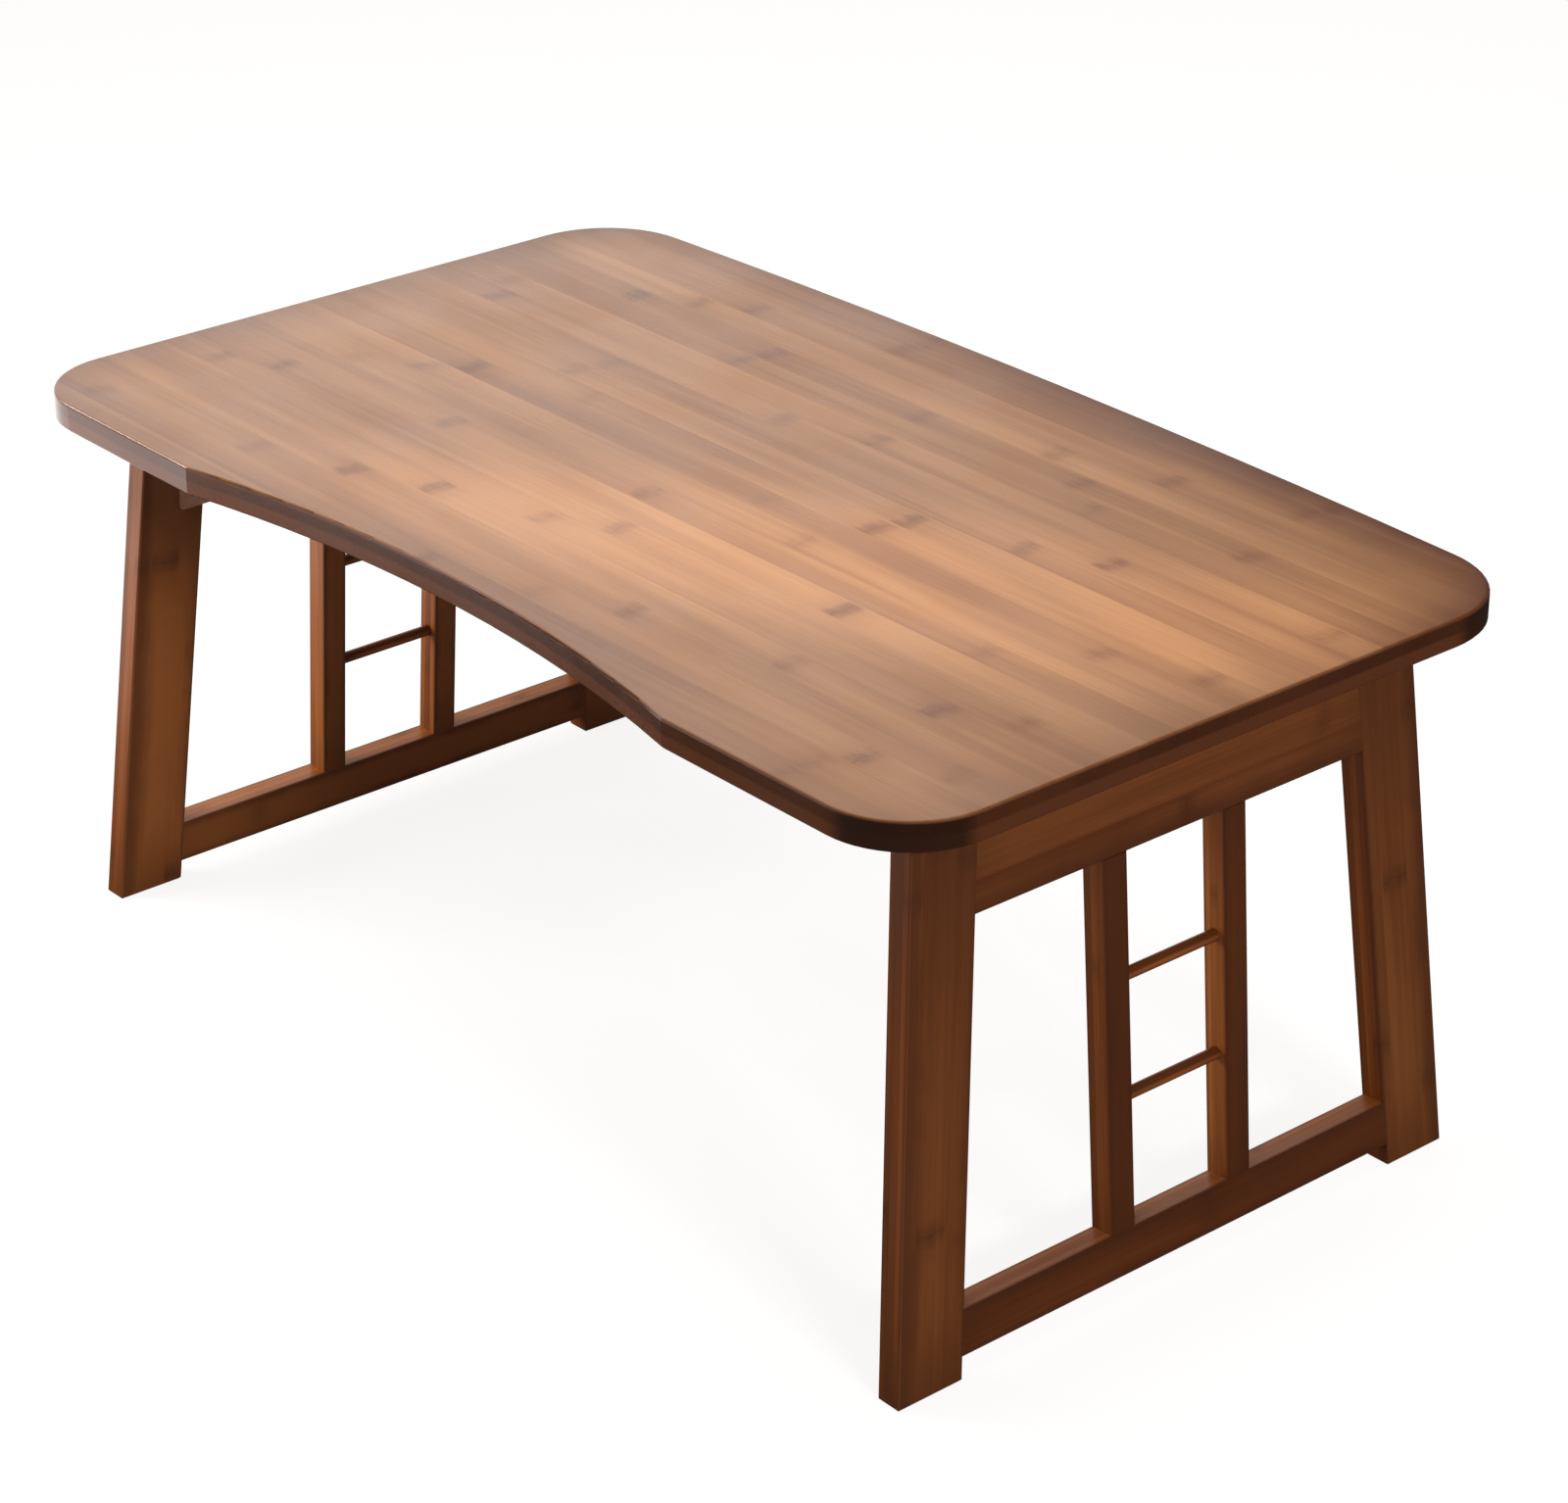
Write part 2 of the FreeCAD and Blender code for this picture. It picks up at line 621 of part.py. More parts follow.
def build_hinges(doc, name, side, screw, sizes):
    """Both hinges of one leg frame, with their screws."""
    parts = []
    frame = frame_place(side)
    yaw = "0" if side > 0 else "180"
    leg_screws = []
    for end, across in ENDS.items():
        hinge = "%s_%s_hinge_" % (name, end)
        pin_base = "%d * Layout.pin_x; Layout.frame_y + %d * Layout.hinge_y; " % (side, across)
        pin_base += "Sizes.leg_height - Layout.pin_offset"
        under_board = placement(pin_base, "%s; -90; 180" % yaw)
        local = across * side
        on_frame = placement("Layout.pin_local_x; %d * Layout.hinge_y; Layout.pin_local_z" % local)
        on_frame = "%s * %s" % (frame, on_frame)
        parts.append(build_leaf(doc, hinge + "board_leaf", under_board, BOARD_KNUCKLES, -local, sizes))
        parts.append(build_leaf(doc, hinge + "leg_leaf", on_frame, LEG_KNUCKLES, local, sizes))
        parts.append(build_pin(doc, hinge + "pin", placement(pin_base)))
        for y, z in leg_screw_spots(local):
            head = "-Sizes.frame_thickness - Sizes.hinge_leaf_thickness; %s; %s" % (y, z)
            leg_screws.append("%s * %s" % (frame, placement(head, "0; 90; 0")))
    heads = "Sizes.leg_height - Sizes.hinge_leaf_thickness"
    board_screws = [placement("%s; %s; %s" % (x, y, heads)) for x, y in board_screw_spots(side)]
    parts.append(group_screws(doc, name + "_hinge_board_screws", screw, board_screws))
    parts.append(group_screws(doc, name + "_hinge_leg_screws", screw, leg_screws))
    return parts


def check_and_write(doc, parts):
    """Refuse a broken object, then write each part to its own file."""
    for item in doc.Objects:
        if "Invalid" in item.State or "Error" in item.State:
            raise RuntimeError("%s is in state %s" % (item.Label, item.State))
    for part in parts:
        if part.Shape.isNull() or not part.Shape.isValid():
            raise RuntimeError("the shape of %s is not sound" % part.Label)
    os.makedirs("parts", exist_ok=True)
    for part in parts:
        part.Shape.exportStep("parts/%s.step" % part.Label)
        print("%s: %d solids" % (part.Label, len(part.Shape.Solids)))


def build_table():
    doc = FreeCAD.newDocument("folding_table")
    sizes = fill_sheet(doc, "Sizes", SIZES)
    layout = fill_sheet(doc, "Layout", LAYOUT)
    parts = [build_tabletop(doc, sizes, layout)]
    screw = build_screw(doc)
    for name, side in SIDES.items():
        parts += build_frame(doc, name, side, sizes, layout)
        parts += build_hinges(doc, name, side, screw, sizes)
    doc.recompute()
    check_and_write(doc, parts)


build_table()
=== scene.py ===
"""Looks of the folding bamboo table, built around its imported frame."""
import math

import bpy
from mathutils import Matrix, Vector


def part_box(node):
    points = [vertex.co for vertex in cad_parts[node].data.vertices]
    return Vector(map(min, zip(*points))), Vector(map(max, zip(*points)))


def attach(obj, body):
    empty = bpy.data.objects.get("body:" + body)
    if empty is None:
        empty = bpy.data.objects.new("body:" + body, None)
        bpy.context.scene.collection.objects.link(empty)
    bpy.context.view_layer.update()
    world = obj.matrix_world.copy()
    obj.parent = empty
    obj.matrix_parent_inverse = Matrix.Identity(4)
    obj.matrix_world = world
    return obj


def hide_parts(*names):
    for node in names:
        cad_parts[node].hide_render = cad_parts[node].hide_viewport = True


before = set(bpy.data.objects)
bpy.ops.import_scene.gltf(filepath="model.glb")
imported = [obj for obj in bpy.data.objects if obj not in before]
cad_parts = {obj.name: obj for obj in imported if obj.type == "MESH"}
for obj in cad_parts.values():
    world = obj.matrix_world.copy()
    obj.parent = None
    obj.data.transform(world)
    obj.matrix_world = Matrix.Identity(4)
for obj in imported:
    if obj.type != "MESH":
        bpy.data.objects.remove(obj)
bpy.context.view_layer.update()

bl_info = {
    "name": "Folding bamboo table",
    "version": (1, 0, 0),
    "blender": (4, 5, 0),
    "location": "View3D > Sidebar > Table",
    "description": "Finishes and studio of a low folding table in laminated bamboo",
    "category": "Object",
}

# Places in the table's own frame, in metres: X along the board, Y from the arched front to the
# bowed back, Z up, with the origin on the floor.
BOARD_LOW, BOARD_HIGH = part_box("tabletop")
ARCH_HALF, ARCH_DEPTH = 0.185, 0.0205
BOW_DEPTH = 0.0115
CORNER_RADIUS, CORNER_CHANGE = 0.05, 0.003
MEMBER_THICKNESS = 0.014
LEG_TILT = math.radians(4.45)
POST_SPLAY = math.radians(4.7)
SIDES = {"right": 1, "left": -1}
ENDS = {"front": -1, "back": 1}
CROSS_MEMBERS = ("top_rail", "bottom_rail", "upper_dowel", "lower_dowel")

# How the bamboo is laid up, in metres. Each ply's strips lie beside those of the ply below it, by a
# share of their width.
STRIP_WIDTH = 0.0185
STRIP_START = -0.2065
BOARD_PLY = 0.0076
MEMBER_PLY = 0.0047
PLY_SHIFT_SHARE = 0.37

# Where nearly all values of a noise lie.
NOISE_RANGE = (0.3, 0.7)

# The board's strips from the arched front to the bowed back: how dark each one is, then where its
# first node mark lies from the left-hand end and how far apart its marks are, in millimetres.
BOARD_STRIPS = [
    (0.5, 300, 300), (0.65, 40, 280), (0.6, 155, 228), (0.35, 210, 220), (0.35, 255, 265), (0.45, 40, 279),
    (0.55, 72, 280), (0.3, 192, 300), (0.6, 87, 240), (0.25, 120, 300), (0.9, 138, 232), (0.5, 210, 221),
    (0.2, 175, 260), (0.7, 180, 315), (0.5, 62, 236), (0.3, 45, 305), (0.8, 220, 262), (0.65, 225, 115),
    (0.1, 140, 280), (0.3, 167, 315), (0.6, 265, 287), (0.6, 267, 289),
]

# How strongly each pattern shows in the bamboo: first in its tone, then as marks over it.
BOARD_TONE = {"strip": 0.36, "band": 0.40, "fibre": 0.24}
BOARD_MARKS = {"fleck": 0.12, "blotch": 0.62, "line": 0.25, "seam": 0.16}
MEMBER_TONE = {"strip": 0.4, "band": 0.35, "fibre": 0.35}
MEMBER_MARKS = {"fleck": 0.15, "blotch": 0.5, "line": 0.3, "seam": 0.6}

# How much darker than its bamboo each leg frame member is painted, on its broad faces and on its
# narrow sides: partly the piece's own tone, partly painted light and shade for how the light falls
# on each face and each frame. Below zero is lighter. The two frames differ as they do in the photo.
MEMBER_TONE_AND_PAINTED_SHADE = {
    "right": {"post": (-0.12, 0.62), "front_mullion": (0.75, 0.6), "back_mullion": (0.65, 0.15),
              "top_rail": (0.25, 0.1), "bottom_rail": (0.65, 0.1), "dowel": (-0.1, 0.4)},
    "left": {"post": (-0.75, 0.3), "front_mullion": (-0.4, 0.15), "back_mullion": (-0.4, 0.15),
             "top_rail": (0.25, 0.1), "bottom_rail": (-0.75, -1.0), "dowel": (-0.1, 0.4)},
}
# Seed of each kind of member's pattern, and what the right frame adds to it and the left one takes off.
MEMBER_SEEDS = {"post": (1.0, 3.0), "mullion": (11.0, 3.0), "cross": (21.0, 5.0)}
POST_LEAN = 0.004
# Painted shadow of the board, darkening a post towards its top.
POST_HEAD_SHADOW = 0.5
ARRIS_SMOKE = 0.7

# Metals: the colour of their tarnish, their roughness and how metallic they look.
METALS = {
    "Hinge plate": ((0.72, 0.40, 0.28), 0.34, 0.6),
    "Screw steel": ((0.40, 0.37, 0.34), 0.3, 0.8),
}
# Relief of the surfaces, in metres, and how strongly it shows.
LACQUER_RELIEF = 0.00004
METAL_RELIEF = 0.00002
BUMP_STRENGTH = 0.5


class Tree:
    """Adds nodes to a node tree and links them."""

    def __init__(self, tree):
        self.tree = tree

    def new(self, kind, values=None, **settings):
        """A node of a kind with settings, its inputs given by name or number as values or sockets."""
        node = self.tree.nodes.new(kind)
        for name, value in settings.items():
            setattr(node, name, value)
        for key, value in (values or {}).items():
            self.feed(node.inputs[key], value)
        return node

    def feed(self, socket, value):
        """Links a socket to another one or gives it a value. A colour is made opaque."""
        if isinstance(value, bpy.types.NodeSocket):
            self.tree.links.new(value, socket)
        else:
            socket.default_value = (*value, 1.0) if socket.type == "RGBA" else value

    def math(self, operation, *values):
        """Result of a Math node."""
        return self.new("ShaderNodeMath", dict(enumerate(values)), operation=operation).outputs[0]

    def vector(self, operation, *values, output="Vector"):
        node = self.new("ShaderNodeVectorMath", dict(enumerate(values)), operation=operation)
        return node.outputs[output]

    def ramp(self, value, low, high, to_low=0.0, to_high=1.0, smooth=True):
        """Value carried from one range to another, clamped."""
        kind = "SMOOTHSTEP" if smooth else "LINEAR"
        inputs = {"Value": value, "From Min": low, "From Max": high, "To Min": to_low, "To Max": to_high}
        return self.new("ShaderNodeMapRange", inputs, interpolation_type=kind).outputs["Result"]

    def weighed(self, parts):
        """Sum of values, each times its own weight."""
        total = 0.0
        for value, weight in parts:
            total = self.math("MULTIPLY_ADD", value, weight, total)
        return total

    def wander(self, value, noise, reach):
        """Value moved up or down by a noise, through a reach in all."""
        return self.math("MULTIPLY_ADD", self.math("SUBTRACT", noise, 0.5), reach, value)

    def steps(self, value):
        """Which whole step a value lies in, and how far from the middle of that step."""
        return self.math("FLOOR", value), self.math("SUBTRACT", self.math("FRACT", value), 0.5)

    def noise(self, vector, scale, detail=1.0, roughness=0.5):
        inputs = {"Vector": vector, "Scale": scale, "Detail": detail, "Roughness": roughness}
        return self.new("ShaderNodeTexNoise", inputs).outputs["Fac"]

    def grain(self, vector, along, across, detail=1.0, roughness=0.5):
        """Noise drawn out along X, by its repeats in a metre along and across the grain."""
        stretched = self.vector("MULTIPLY", vector, (along, across, across))
        return self.noise(stretched, 1.0, detail, roughness)

    def random(self, vector):
        """Three random values that a vector stands for."""
        node = self.new("ShaderNodeTexWhiteNoise", {"Vector": vector}, noise_dimensions="3D")
        return self.split(node.outputs["Color"])

    def split(self, vector):
        return self.new("ShaderNodeSeparateXYZ", {"Vector": vector}).outputs

    def join(self, x, y, z):
        return self.new("ShaderNodeCombineXYZ", {"X": x, "Y": y, "Z": z}).outputs["Vector"]

    def mix(self, factor, first, second):
        """Mix of two colours."""
        node = self.new("ShaderNodeMix", data_type="RGBA", clamp_factor=True)
        for number, value in ((0, factor), (6, first), (7, second)):
            self.feed(node.inputs[number], value)
        return node.outputs[2]

    def shader(self, kind, inputs):
        """Result of a shader node."""
        return self.new("ShaderNode" + kind, inputs).outputs[0]

    def over(self, colour, layers):
        """Colour with others over it, from the mask, the strength and the colour of each."""
        for mask, strength, top in layers:
            colour = self.mix(self.math("MULTIPLY", mask, strength), colour, top)
        return colour

    def use(self, group, values):
        """Outputs of a node group placed with its own values."""
        return self.new("ShaderNodeGroup", values, node_tree=group).outputs


def new_group(name, values):
    """Tree of a new shader node group that takes a Vector and values with defaults, and its inputs."""
    group = bpy.data.node_groups.new(name, "ShaderNodeTree")
    group.interface.new_socket(name="Vector", in_out="INPUT", socket_type="NodeSocketVector")
    for socket, default in values.items():
        made = group.interface.new_socket(name=socket, in_out="INPUT", socket_type="NodeSocketFloat")
        made.default_value = default
    tree = Tree(group)
    return tree, tree.new("NodeGroupInput").outputs


def finish_group(tree, results):
    """Node group of a tree, with an output for each of its results."""
    for socket in results:
        tree.tree.interface.new_socket(name=socket, in_out="OUTPUT", socket_type="NodeSocketFloat")
    tree.new("NodeGroupOutput", results)
    return tree.tree


def strip_layout_group(name):
    """Cuts a block into strips: which strip a point is in, where across it, and its random values."""
    tree, given = new_group(name, {"Strip Width": STRIP_WIDTH, "Ply Thickness": MEMBER_PLY, "Seed": 0.0})
    seam_start, ply_seam_start = 0.485, 0.43
    _, y, z = tree.split(given["Vector"])
    ply, through = tree.steps(tree.math("DIVIDE", z, given["Ply Thickness"]))
    shift = tree.math("MULTIPLY", ply, PLY_SHIFT_SHARE)
    strip, across = tree.steps(tree.math("ADD", tree.math("DIVIDE", y, given["Strip Width"]), shift))
    seam_across = tree.ramp(tree.math("ABSOLUTE", across), seam_start, 0.5)
    seam_through = tree.ramp(tree.math("ABSOLUTE", through), ply_seam_start, 0.5)
    seam = tree.math("MAXIMUM", seam_across, seam_through)
    first, second, third = tree.random(tree.join(strip, ply, given["Seed"]))
    return finish_group(tree, {"Strip": strip, "Across": across, "Seam": seam, "Random A": first,
                               "Random B": second, "Random C": third})


def fibre_group(name):
    """Fine bamboo fibres along X, drifting bands along each strip and short dark flecks."""
    tree, given = new_group(name, {"Strip": 0.0, "Seed": 0.0})
    strip_offset, fine_share, coarse_share, fleck_start, fleck_full = 3.7, 0.55, 0.45, 0.66, 0.8
    offset = tree.math("MULTIPLY_ADD", given["Strip"], strip_offset, given["Seed"])
    shifted = tree.vector("ADD", given["Vector"], tree.join(offset, 0.0, 0.0))
    fine = tree.grain(shifted, along=16.0, across=1500.0, detail=3.0, roughness=0.6)
    coarse = tree.grain(shifted, along=5.0, across=330.0, detail=2.0)
    band = tree.grain(shifted, along=4.5, across=45.0)
    fleck = tree.grain(shifted, along=120.0, across=2600.0)
    fibre = tree.weighed([(fine, fine_share), (coarse, coarse_share)])
    return finish_group(tree, {"Fibre": tree.ramp(fibre, *NOISE_RANGE), "Band": tree.ramp(band, *NOISE_RANGE),
                               "Fleck": tree.ramp(fleck, fleck_start, fleck_full)})


def node_mark_group(name):
    """Dark soft marks where the bamboo's nodes cross a strip."""
    tree, given = new_group(name, {"Across": 0.0, "Strip": 0.0, "First": 0.1, "Pitch": 0.25, "Seed": 0.0})
    # sizes of a mark, in metres: how far it wanders and slants, and how far its layers reach
    waver, slant = 0.006, 0.004
    blotch_core, blotch_reach, halo_reach = 0.002, 0.011, 0.026
    line_core, line_reach = 0.0004, 0.0014
    # shares of its darkness: where it is most ragged, in its halo, and in the weakest mark
    ragged_share, halo_share, weakest_share, margin_start = 0.6, 0.3, 0.35, 0.40
    x = tree.split(given["Vector"])[0]
    wave = tree.grain(given["Vector"], along=60.0, across=160.0, detail=2.0, roughness=0.6)
    bent = tree.wander(x, wave, waver)
    from_first = tree.math("SUBTRACT", bent, given["First"])
    number, part = tree.steps(tree.math("ADD", tree.math("DIVIDE", from_first, given["Pitch"]), 0.5))
    apart = tree.math("MULTIPLY", part, given["Pitch"])
    strength, side, _ = tree.random(tree.join(number, given["Strip"], given["Seed"]))
    side_way = tree.math("MULTIPLY_ADD", side, 2.0, -1.0)
    skew = tree.math("MULTIPLY", tree.math("MULTIPLY", given["Across"], side_way), slant)
    gap = tree.math("ABSOLUTE", tree.math("ADD", apart, skew))
    ragged = tree.ramp(wave, 0.35, 0.6, ragged_share, 1.0)
    blotch = tree.math("MULTIPLY", tree.ramp(gap, blotch_core, blotch_reach, 1.0, 0.0), ragged)
    halo = tree.ramp(gap, 0.0, halo_reach, halo_share, 0.0)
    inside = tree.ramp(tree.math("ABSOLUTE", given["Across"]), margin_start, 0.5, 1.0, 0.0)
    power = tree.ramp(strength, 0.0, 1.0, weakest_share, 1.0, smooth=False)
    shown = tree.math("MULTIPLY", inside, power)
    mark = tree.math("MULTIPLY", tree.math("MAXIMUM", blotch, halo), shown)
    line = tree.math("MULTIPLY", tree.ramp(gap, line_core, line_reach, 1.0, 0.0), shown)
    return finish_group(tree, {"Mark": mark, "Line": line})


def lacquer_group(name):
    """Satin lacquer: slow changes in its gloss, with faint dust and a brushed-on ripple."""
    tree, given = new_group(name, {"Roughness": 0.4, "Fibre": 0.5})
    glossier, duller, pore_roughness = -0.05, 0.06, 0.05
    fibre_relief, ripple_relief, speck_relief, speck_start, speck_full = 0.6, 0.4, 0.5, 0.72, 0.8
    cloud = tree.noise(given["Vector"], scale=14.0, detail=3.0, roughness=0.55)
    spread = tree.ramp(cloud, *NOISE_RANGE, glossier, duller)
    pores = tree.math("MULTIPLY_ADD", given["Fibre"], pore_roughness, spread)
    rough = tree.math("ADD", given["Roughness"], pores)
    ripple = tree.grain(given["Vector"], along=30.0, across=240.0)
    speck = tree.ramp(tree.noise(given["Vector"], scale=900.0), speck_start, speck_full)
    relief = [(given["Fibre"], fibre_relief), (ripple, ripple_relief), (speck, speck_relief)]
    return finish_group(tree, {"Roughness": rough, "Height": tree.weighed(relief)})


def past_arc(tree, point, half_chord, depth, top):
    """How far outside an arc of the outline a point is, by the arc's chord, its depth and its highest Y."""
    radius = (half_chord ** 2 + depth ** 2) / (2 * depth)
    distance = tree.vector("DISTANCE", point, (0.0, top - radius, 0.0), output="Value")
    return tree.math("SUBTRACT", distance, radius)


def distance_to_outline(tree, x, y):
    """How far inside the board's outline a point is, and how far round a corner it lies."""
    half, front, back = BOARD_HIGH.x, BOARD_LOW.y, BOARD_HIGH.y
    point = tree.join(x, y, 0.0)
    from_arch = past_arc(tree, point, ARCH_HALF, ARCH_DEPTH, front + ARCH_DEPTH)
    from_bow = tree.math("MULTIPLY", past_arc(tree, point, half, BOW_DEPTH, back), -1.0)
    from_front = tree.math("MINIMUM", tree.math("SUBTRACT", y, front), from_arch)
    from_side = tree.math("MINIMUM", from_front, from_bow)
    from_end = tree.math("SUBTRACT", half, tree.math("ABSOLUTE", x))
    corner = tree.math("MULTIPLY_ADD", tree.math("SIGN", y), CORNER_CHANGE, CORNER_RADIUS)
    inner_side, inner_end = (tree.math("MAXIMUM", tree.math("SUBTRACT", corner, distance), 0.0)
                             for distance in (from_side, from_end))
    reach = tree.vector("LENGTH", tree.join(inner_side, inner_end, 0.0), output="Value")
    return tree.math("SUBTRACT", corner, reach), tree.math("MINIMUM", inner_side, inner_end)


def rim_darkening_group(name):
    """How near a point of the board is to its outline, and how dark its rim is there."""
    tree, given = new_group(name, {"Width": 0.03})
    unevenness, fade_power, plain_strength, corner_reach = 0.010, 1.6, 0.36, 0.012
    x, y, _ = tree.split(given["Vector"])
    distance, round_corner = distance_to_outline(tree, x, y)
    uneven = tree.wander(distance, tree.noise(given["Vector"], scale=22.0, detail=2.0), unevenness)
    inward = tree.math("DIVIDE", uneven, given["Width"])
    fade = tree.math("POWER", tree.ramp(inward, 0.0, 1.0, 1.0, 0.0, smooth=False), fade_power)
    # darkest along the back, right of the middle, and darker at the left end than in front
    back_part = tree.math("MULTIPLY", tree.ramp(y, 0.05, 0.17), tree.ramp(x, -0.2, 0.05, 0.2, 0.6))
    front_part = tree.math("MULTIPLY", tree.ramp(y, -0.05, -0.17), tree.ramp(x, -0.25, 0.0, 0.02, 0.06))
    left_part = tree.ramp(x, -0.25, -0.33, 0.0, 0.18)
    strength = tree.math("ADD", plain_strength, left_part)
    strength = tree.math("ADD", strength, tree.math("ADD", back_part, front_part))
    return finish_group(tree, {"Rim": tree.math("MULTIPLY", fade, strength), "Distance": distance,
                               "Corner": tree.ramp(round_corner, 0.0, corner_reach)})


def member_smoke_and_shadow_group(name):
    """How dark a leg frame member was smoked along its edges, at its ends and at its sharp arrises, and how
    dark a post's top is painted with the board's shadow.
    """
    values = {"Half Length": 0.15, "Half Width": 0.02, "Half Thickness": MEMBER_THICKNESS / 2,
              "Lean": 0.0, "Arris": ARRIS_SMOKE, "Head": 0.0}
    tree, given = new_group(name, values)
    broad_start, broad_full = 0.91, 0.97
    # how far the smoke, and at a post's head the painted shadow of the board, reaches in from each place, in
    # metres, and how dark it is there
    unevenness, edge_start_share, edge_past, edge_dark = 0.008, 0.6, -0.001, 0.7
    end_reach, end_dark, head_reach, head_full, arris_reach = 0.05, 0.4, 0.15, 0.02, 0.003
    x, y, z = tree.split(given["Vector"])
    length, width, thickness = given["Half Length"], given["Half Width"], given["Half Thickness"]
    cloud = tree.noise(given["Vector"], scale=40.0, detail=2.0)
    leaning = tree.math("ABSOLUTE", tree.math("ADD", y, given["Lean"]))
    from_edge = tree.wander(tree.math("SUBTRACT", width, leaning), cloud, unevenness)
    from_end = tree.wander(tree.math("SUBTRACT", length, tree.math("ABSOLUTE", x)), cloud, unevenness)
    broad = tree.ramp(tree.math("DIVIDE", tree.math("ABSOLUTE", z), thickness), broad_start, broad_full)
    at_edge = tree.ramp(from_edge, tree.math("MULTIPLY", width, edge_start_share), edge_past, 0.0, edge_dark)
    at_edge = tree.math("MULTIPLY", at_edge, broad)
    at_end = tree.ramp(from_end, end_reach, 0.0, 0.0, end_dark)
    # painted shadow of the board, darker towards a post's top
    head_shadow = tree.ramp(tree.math("SUBTRACT", length, x), head_reach, head_full, 0.0, given["Head"])
    from_side = tree.math("SUBTRACT", width, tree.math("ABSOLUTE", y))
    from_face = tree.math("SUBTRACT", thickness, tree.math("ABSOLUTE", z))
    at_arris = tree.ramp(tree.math("MAXIMUM", from_side, from_face), arris_reach, 0.0, 0.0, given["Arris"])
    # the smoke, with the painted shadow at a post's head
    smoke_and_shadow = tree.math("MAXIMUM", at_edge, at_end)
    for mask in (at_arris, head_shadow):
        smoke_and_shadow = tree.math("MAXIMUM", smoke_and_shadow, mask)
    return finish_group(tree, {"Smoke": smoke_and_shadow, "Broad": broad})


def worn_metal_group(name):
    """Rolled grain and patches of tarnish on small metal parts."""
    tree, given = new_group(name, {})
    repeats, tarnish_start, tarnish_full = (900.0, 60.0, 900.0), 0.4, 0.75
    rolled = tree.noise(tree.vector("MULTIPLY", given["Vector"], repeats), 1.0, detail=2.0, roughness=0.6)
    patches = tree.noise(given["Vector"], scale=130.0, detail=3.0, roughness=0.6)
    return finish_group(tree, {"Grain": rolled, "Tarnish": tree.ramp(patches, tarnish_start, tarnish_full)})


def shared_groups():
    """The materials' shared node groups, each built once."""
    makers = {
        "strips": ("Strip layout", strip_layout_group),
        "fibre": ("Bamboo fibre", fibre_group),
        "marks": ("Bamboo node marks", node_mark_group),
        "lacquer": ("Satin lacquer", lacquer_group),
        "rim": ("Smoked edge", rim_darkening_group),
        "member": ("Smoked member", member_smoke_and_shadow_group),
        "metal": ("Worn metal", worn_metal_group),
    }
    return {key: bpy.data.node_groups.get(name) or make(name) for key, (name, make) in makers.items()}


def table_place(tree):
    """A point's place in the table's own frame."""
    return tree.new("ShaderNodeTexCoord").outputs["Object"]


def turned_mapping(tree, origin, along, through):
    """Vector in a member's own axes: X along its grain, Z through its thickness."""
    turn = Matrix((along, through.cross(along), through)).transposed().to_euler()
    inputs = {"Vector": table_place(tree), "Location": origin, "Rotation": turn}
    return tree.new("ShaderNodeMapping", inputs, vector_type="TEXTURE").outputs["Vector"]


def new_material(name):
    """Material with nothing but its output, and its Tree."""
    material = bpy.data.materials.new(name)
    material.use_nodes = True
    material.node_tree.nodes.clear()
    tree = Tree(material.node_tree)
    return material, tree, tree.new("ShaderNodeOutputMaterial")


def finish_material(tree, output, colour, roughness, height, bump, values=None):
    """Principled surface with a bump, from colour, roughness and height sockets."""
    inputs = {"Strength": BUMP_STRENGTH, "Distance": bump, "Height": height}
    normal = tree.new("ShaderNodeBump", inputs).outputs["Normal"]
    inputs = {"Base Color": colour, "Roughness": roughness, "Normal": normal}
    inputs.update(values or {})
    tree.feed(output.inputs["Surface"], tree.shader("BsdfPrincipled", inputs))


def bamboo_tone(tree, strip_tone, fibre, weights):
    """How dark the bamboo is, from its strip, its drifting bands and its fibres."""
    values = {"strip": strip_tone, "band": fibre["Band"], "fibre": fibre["Fibre"]}
    return tree.weighed([(value, weights[name]) for name, value in values.items()])


def marked_bamboo(tree, colour, fibre, marks, seam, mark, strengths):
    """Bamboo's colour with its flecks, node marks and seams over it."""
    masks = {"fleck": fibre["Fleck"], "blotch": marks["Mark"], "line": marks["Line"], "seam": seam}
    return tree.over(colour, [(mask, strengths[name], mark) for name, mask in masks.items()])


def lacquer_bamboo(tree, output, groups, colour, place, fibre, roughness):
    """Surface of bamboo under its lacquer."""
    inputs = {"Vector": place, "Roughness": roughness, "Fibre": fibre["Fibre"]}
    lacquer = tree.use(groups["lacquer"], inputs)
    finish_material(tree, output, colour, lacquer["Roughness"], lacquer["Height"], LACQUER_RELIEF)


def strip_table(tree, strip):
    """Tone, first node and node pitch of each of the board's strips, looked up by number."""
    count = len(BOARD_STRIPS)
    place = tree.math("DIVIDE", tree.math("ADD", strip, 0.5), float(count))
    node = tree.new("ShaderNodeValToRGB", {"Fac": place})
    ramp = node.color_ramp
    ramp.interpolation = "CONSTANT"
    while len(ramp.elements) < count:
        ramp.elements.new(1.0)
    for number, (tone, first, pitch) in enumerate(BOARD_STRIPS):
        ramp.elements[number].position = number / count
        ramp.elements[number].color = (tone, first / 1000, pitch / 1000, 1.0)
    return tree.split(node.outputs["Color"])


def board_side_colour(tree, look, strips, height, corner):
    """Colour of the board's side faces: the darker upper ply over the redder lower one, with painted shade
    round the rounded corners.
    """
    ply_low, ply_high, strip_share, seam_share, corner_share = 0.0070, 0.0080, 0.35, 0.5, 0.9
    upper = tree.ramp(height, ply_low, ply_high)
    colour = tree.mix(upper, look.board_edge, look.board_edge_upper)
    # round the corners the side faces take painted shade
    return tree.over(colour, [(strips["Random A"], strip_share, look.node_mark),
                              (strips["Seam"], seam_share, look.smoked),
                              (corner, corner_share, look.board_corner_shade)])


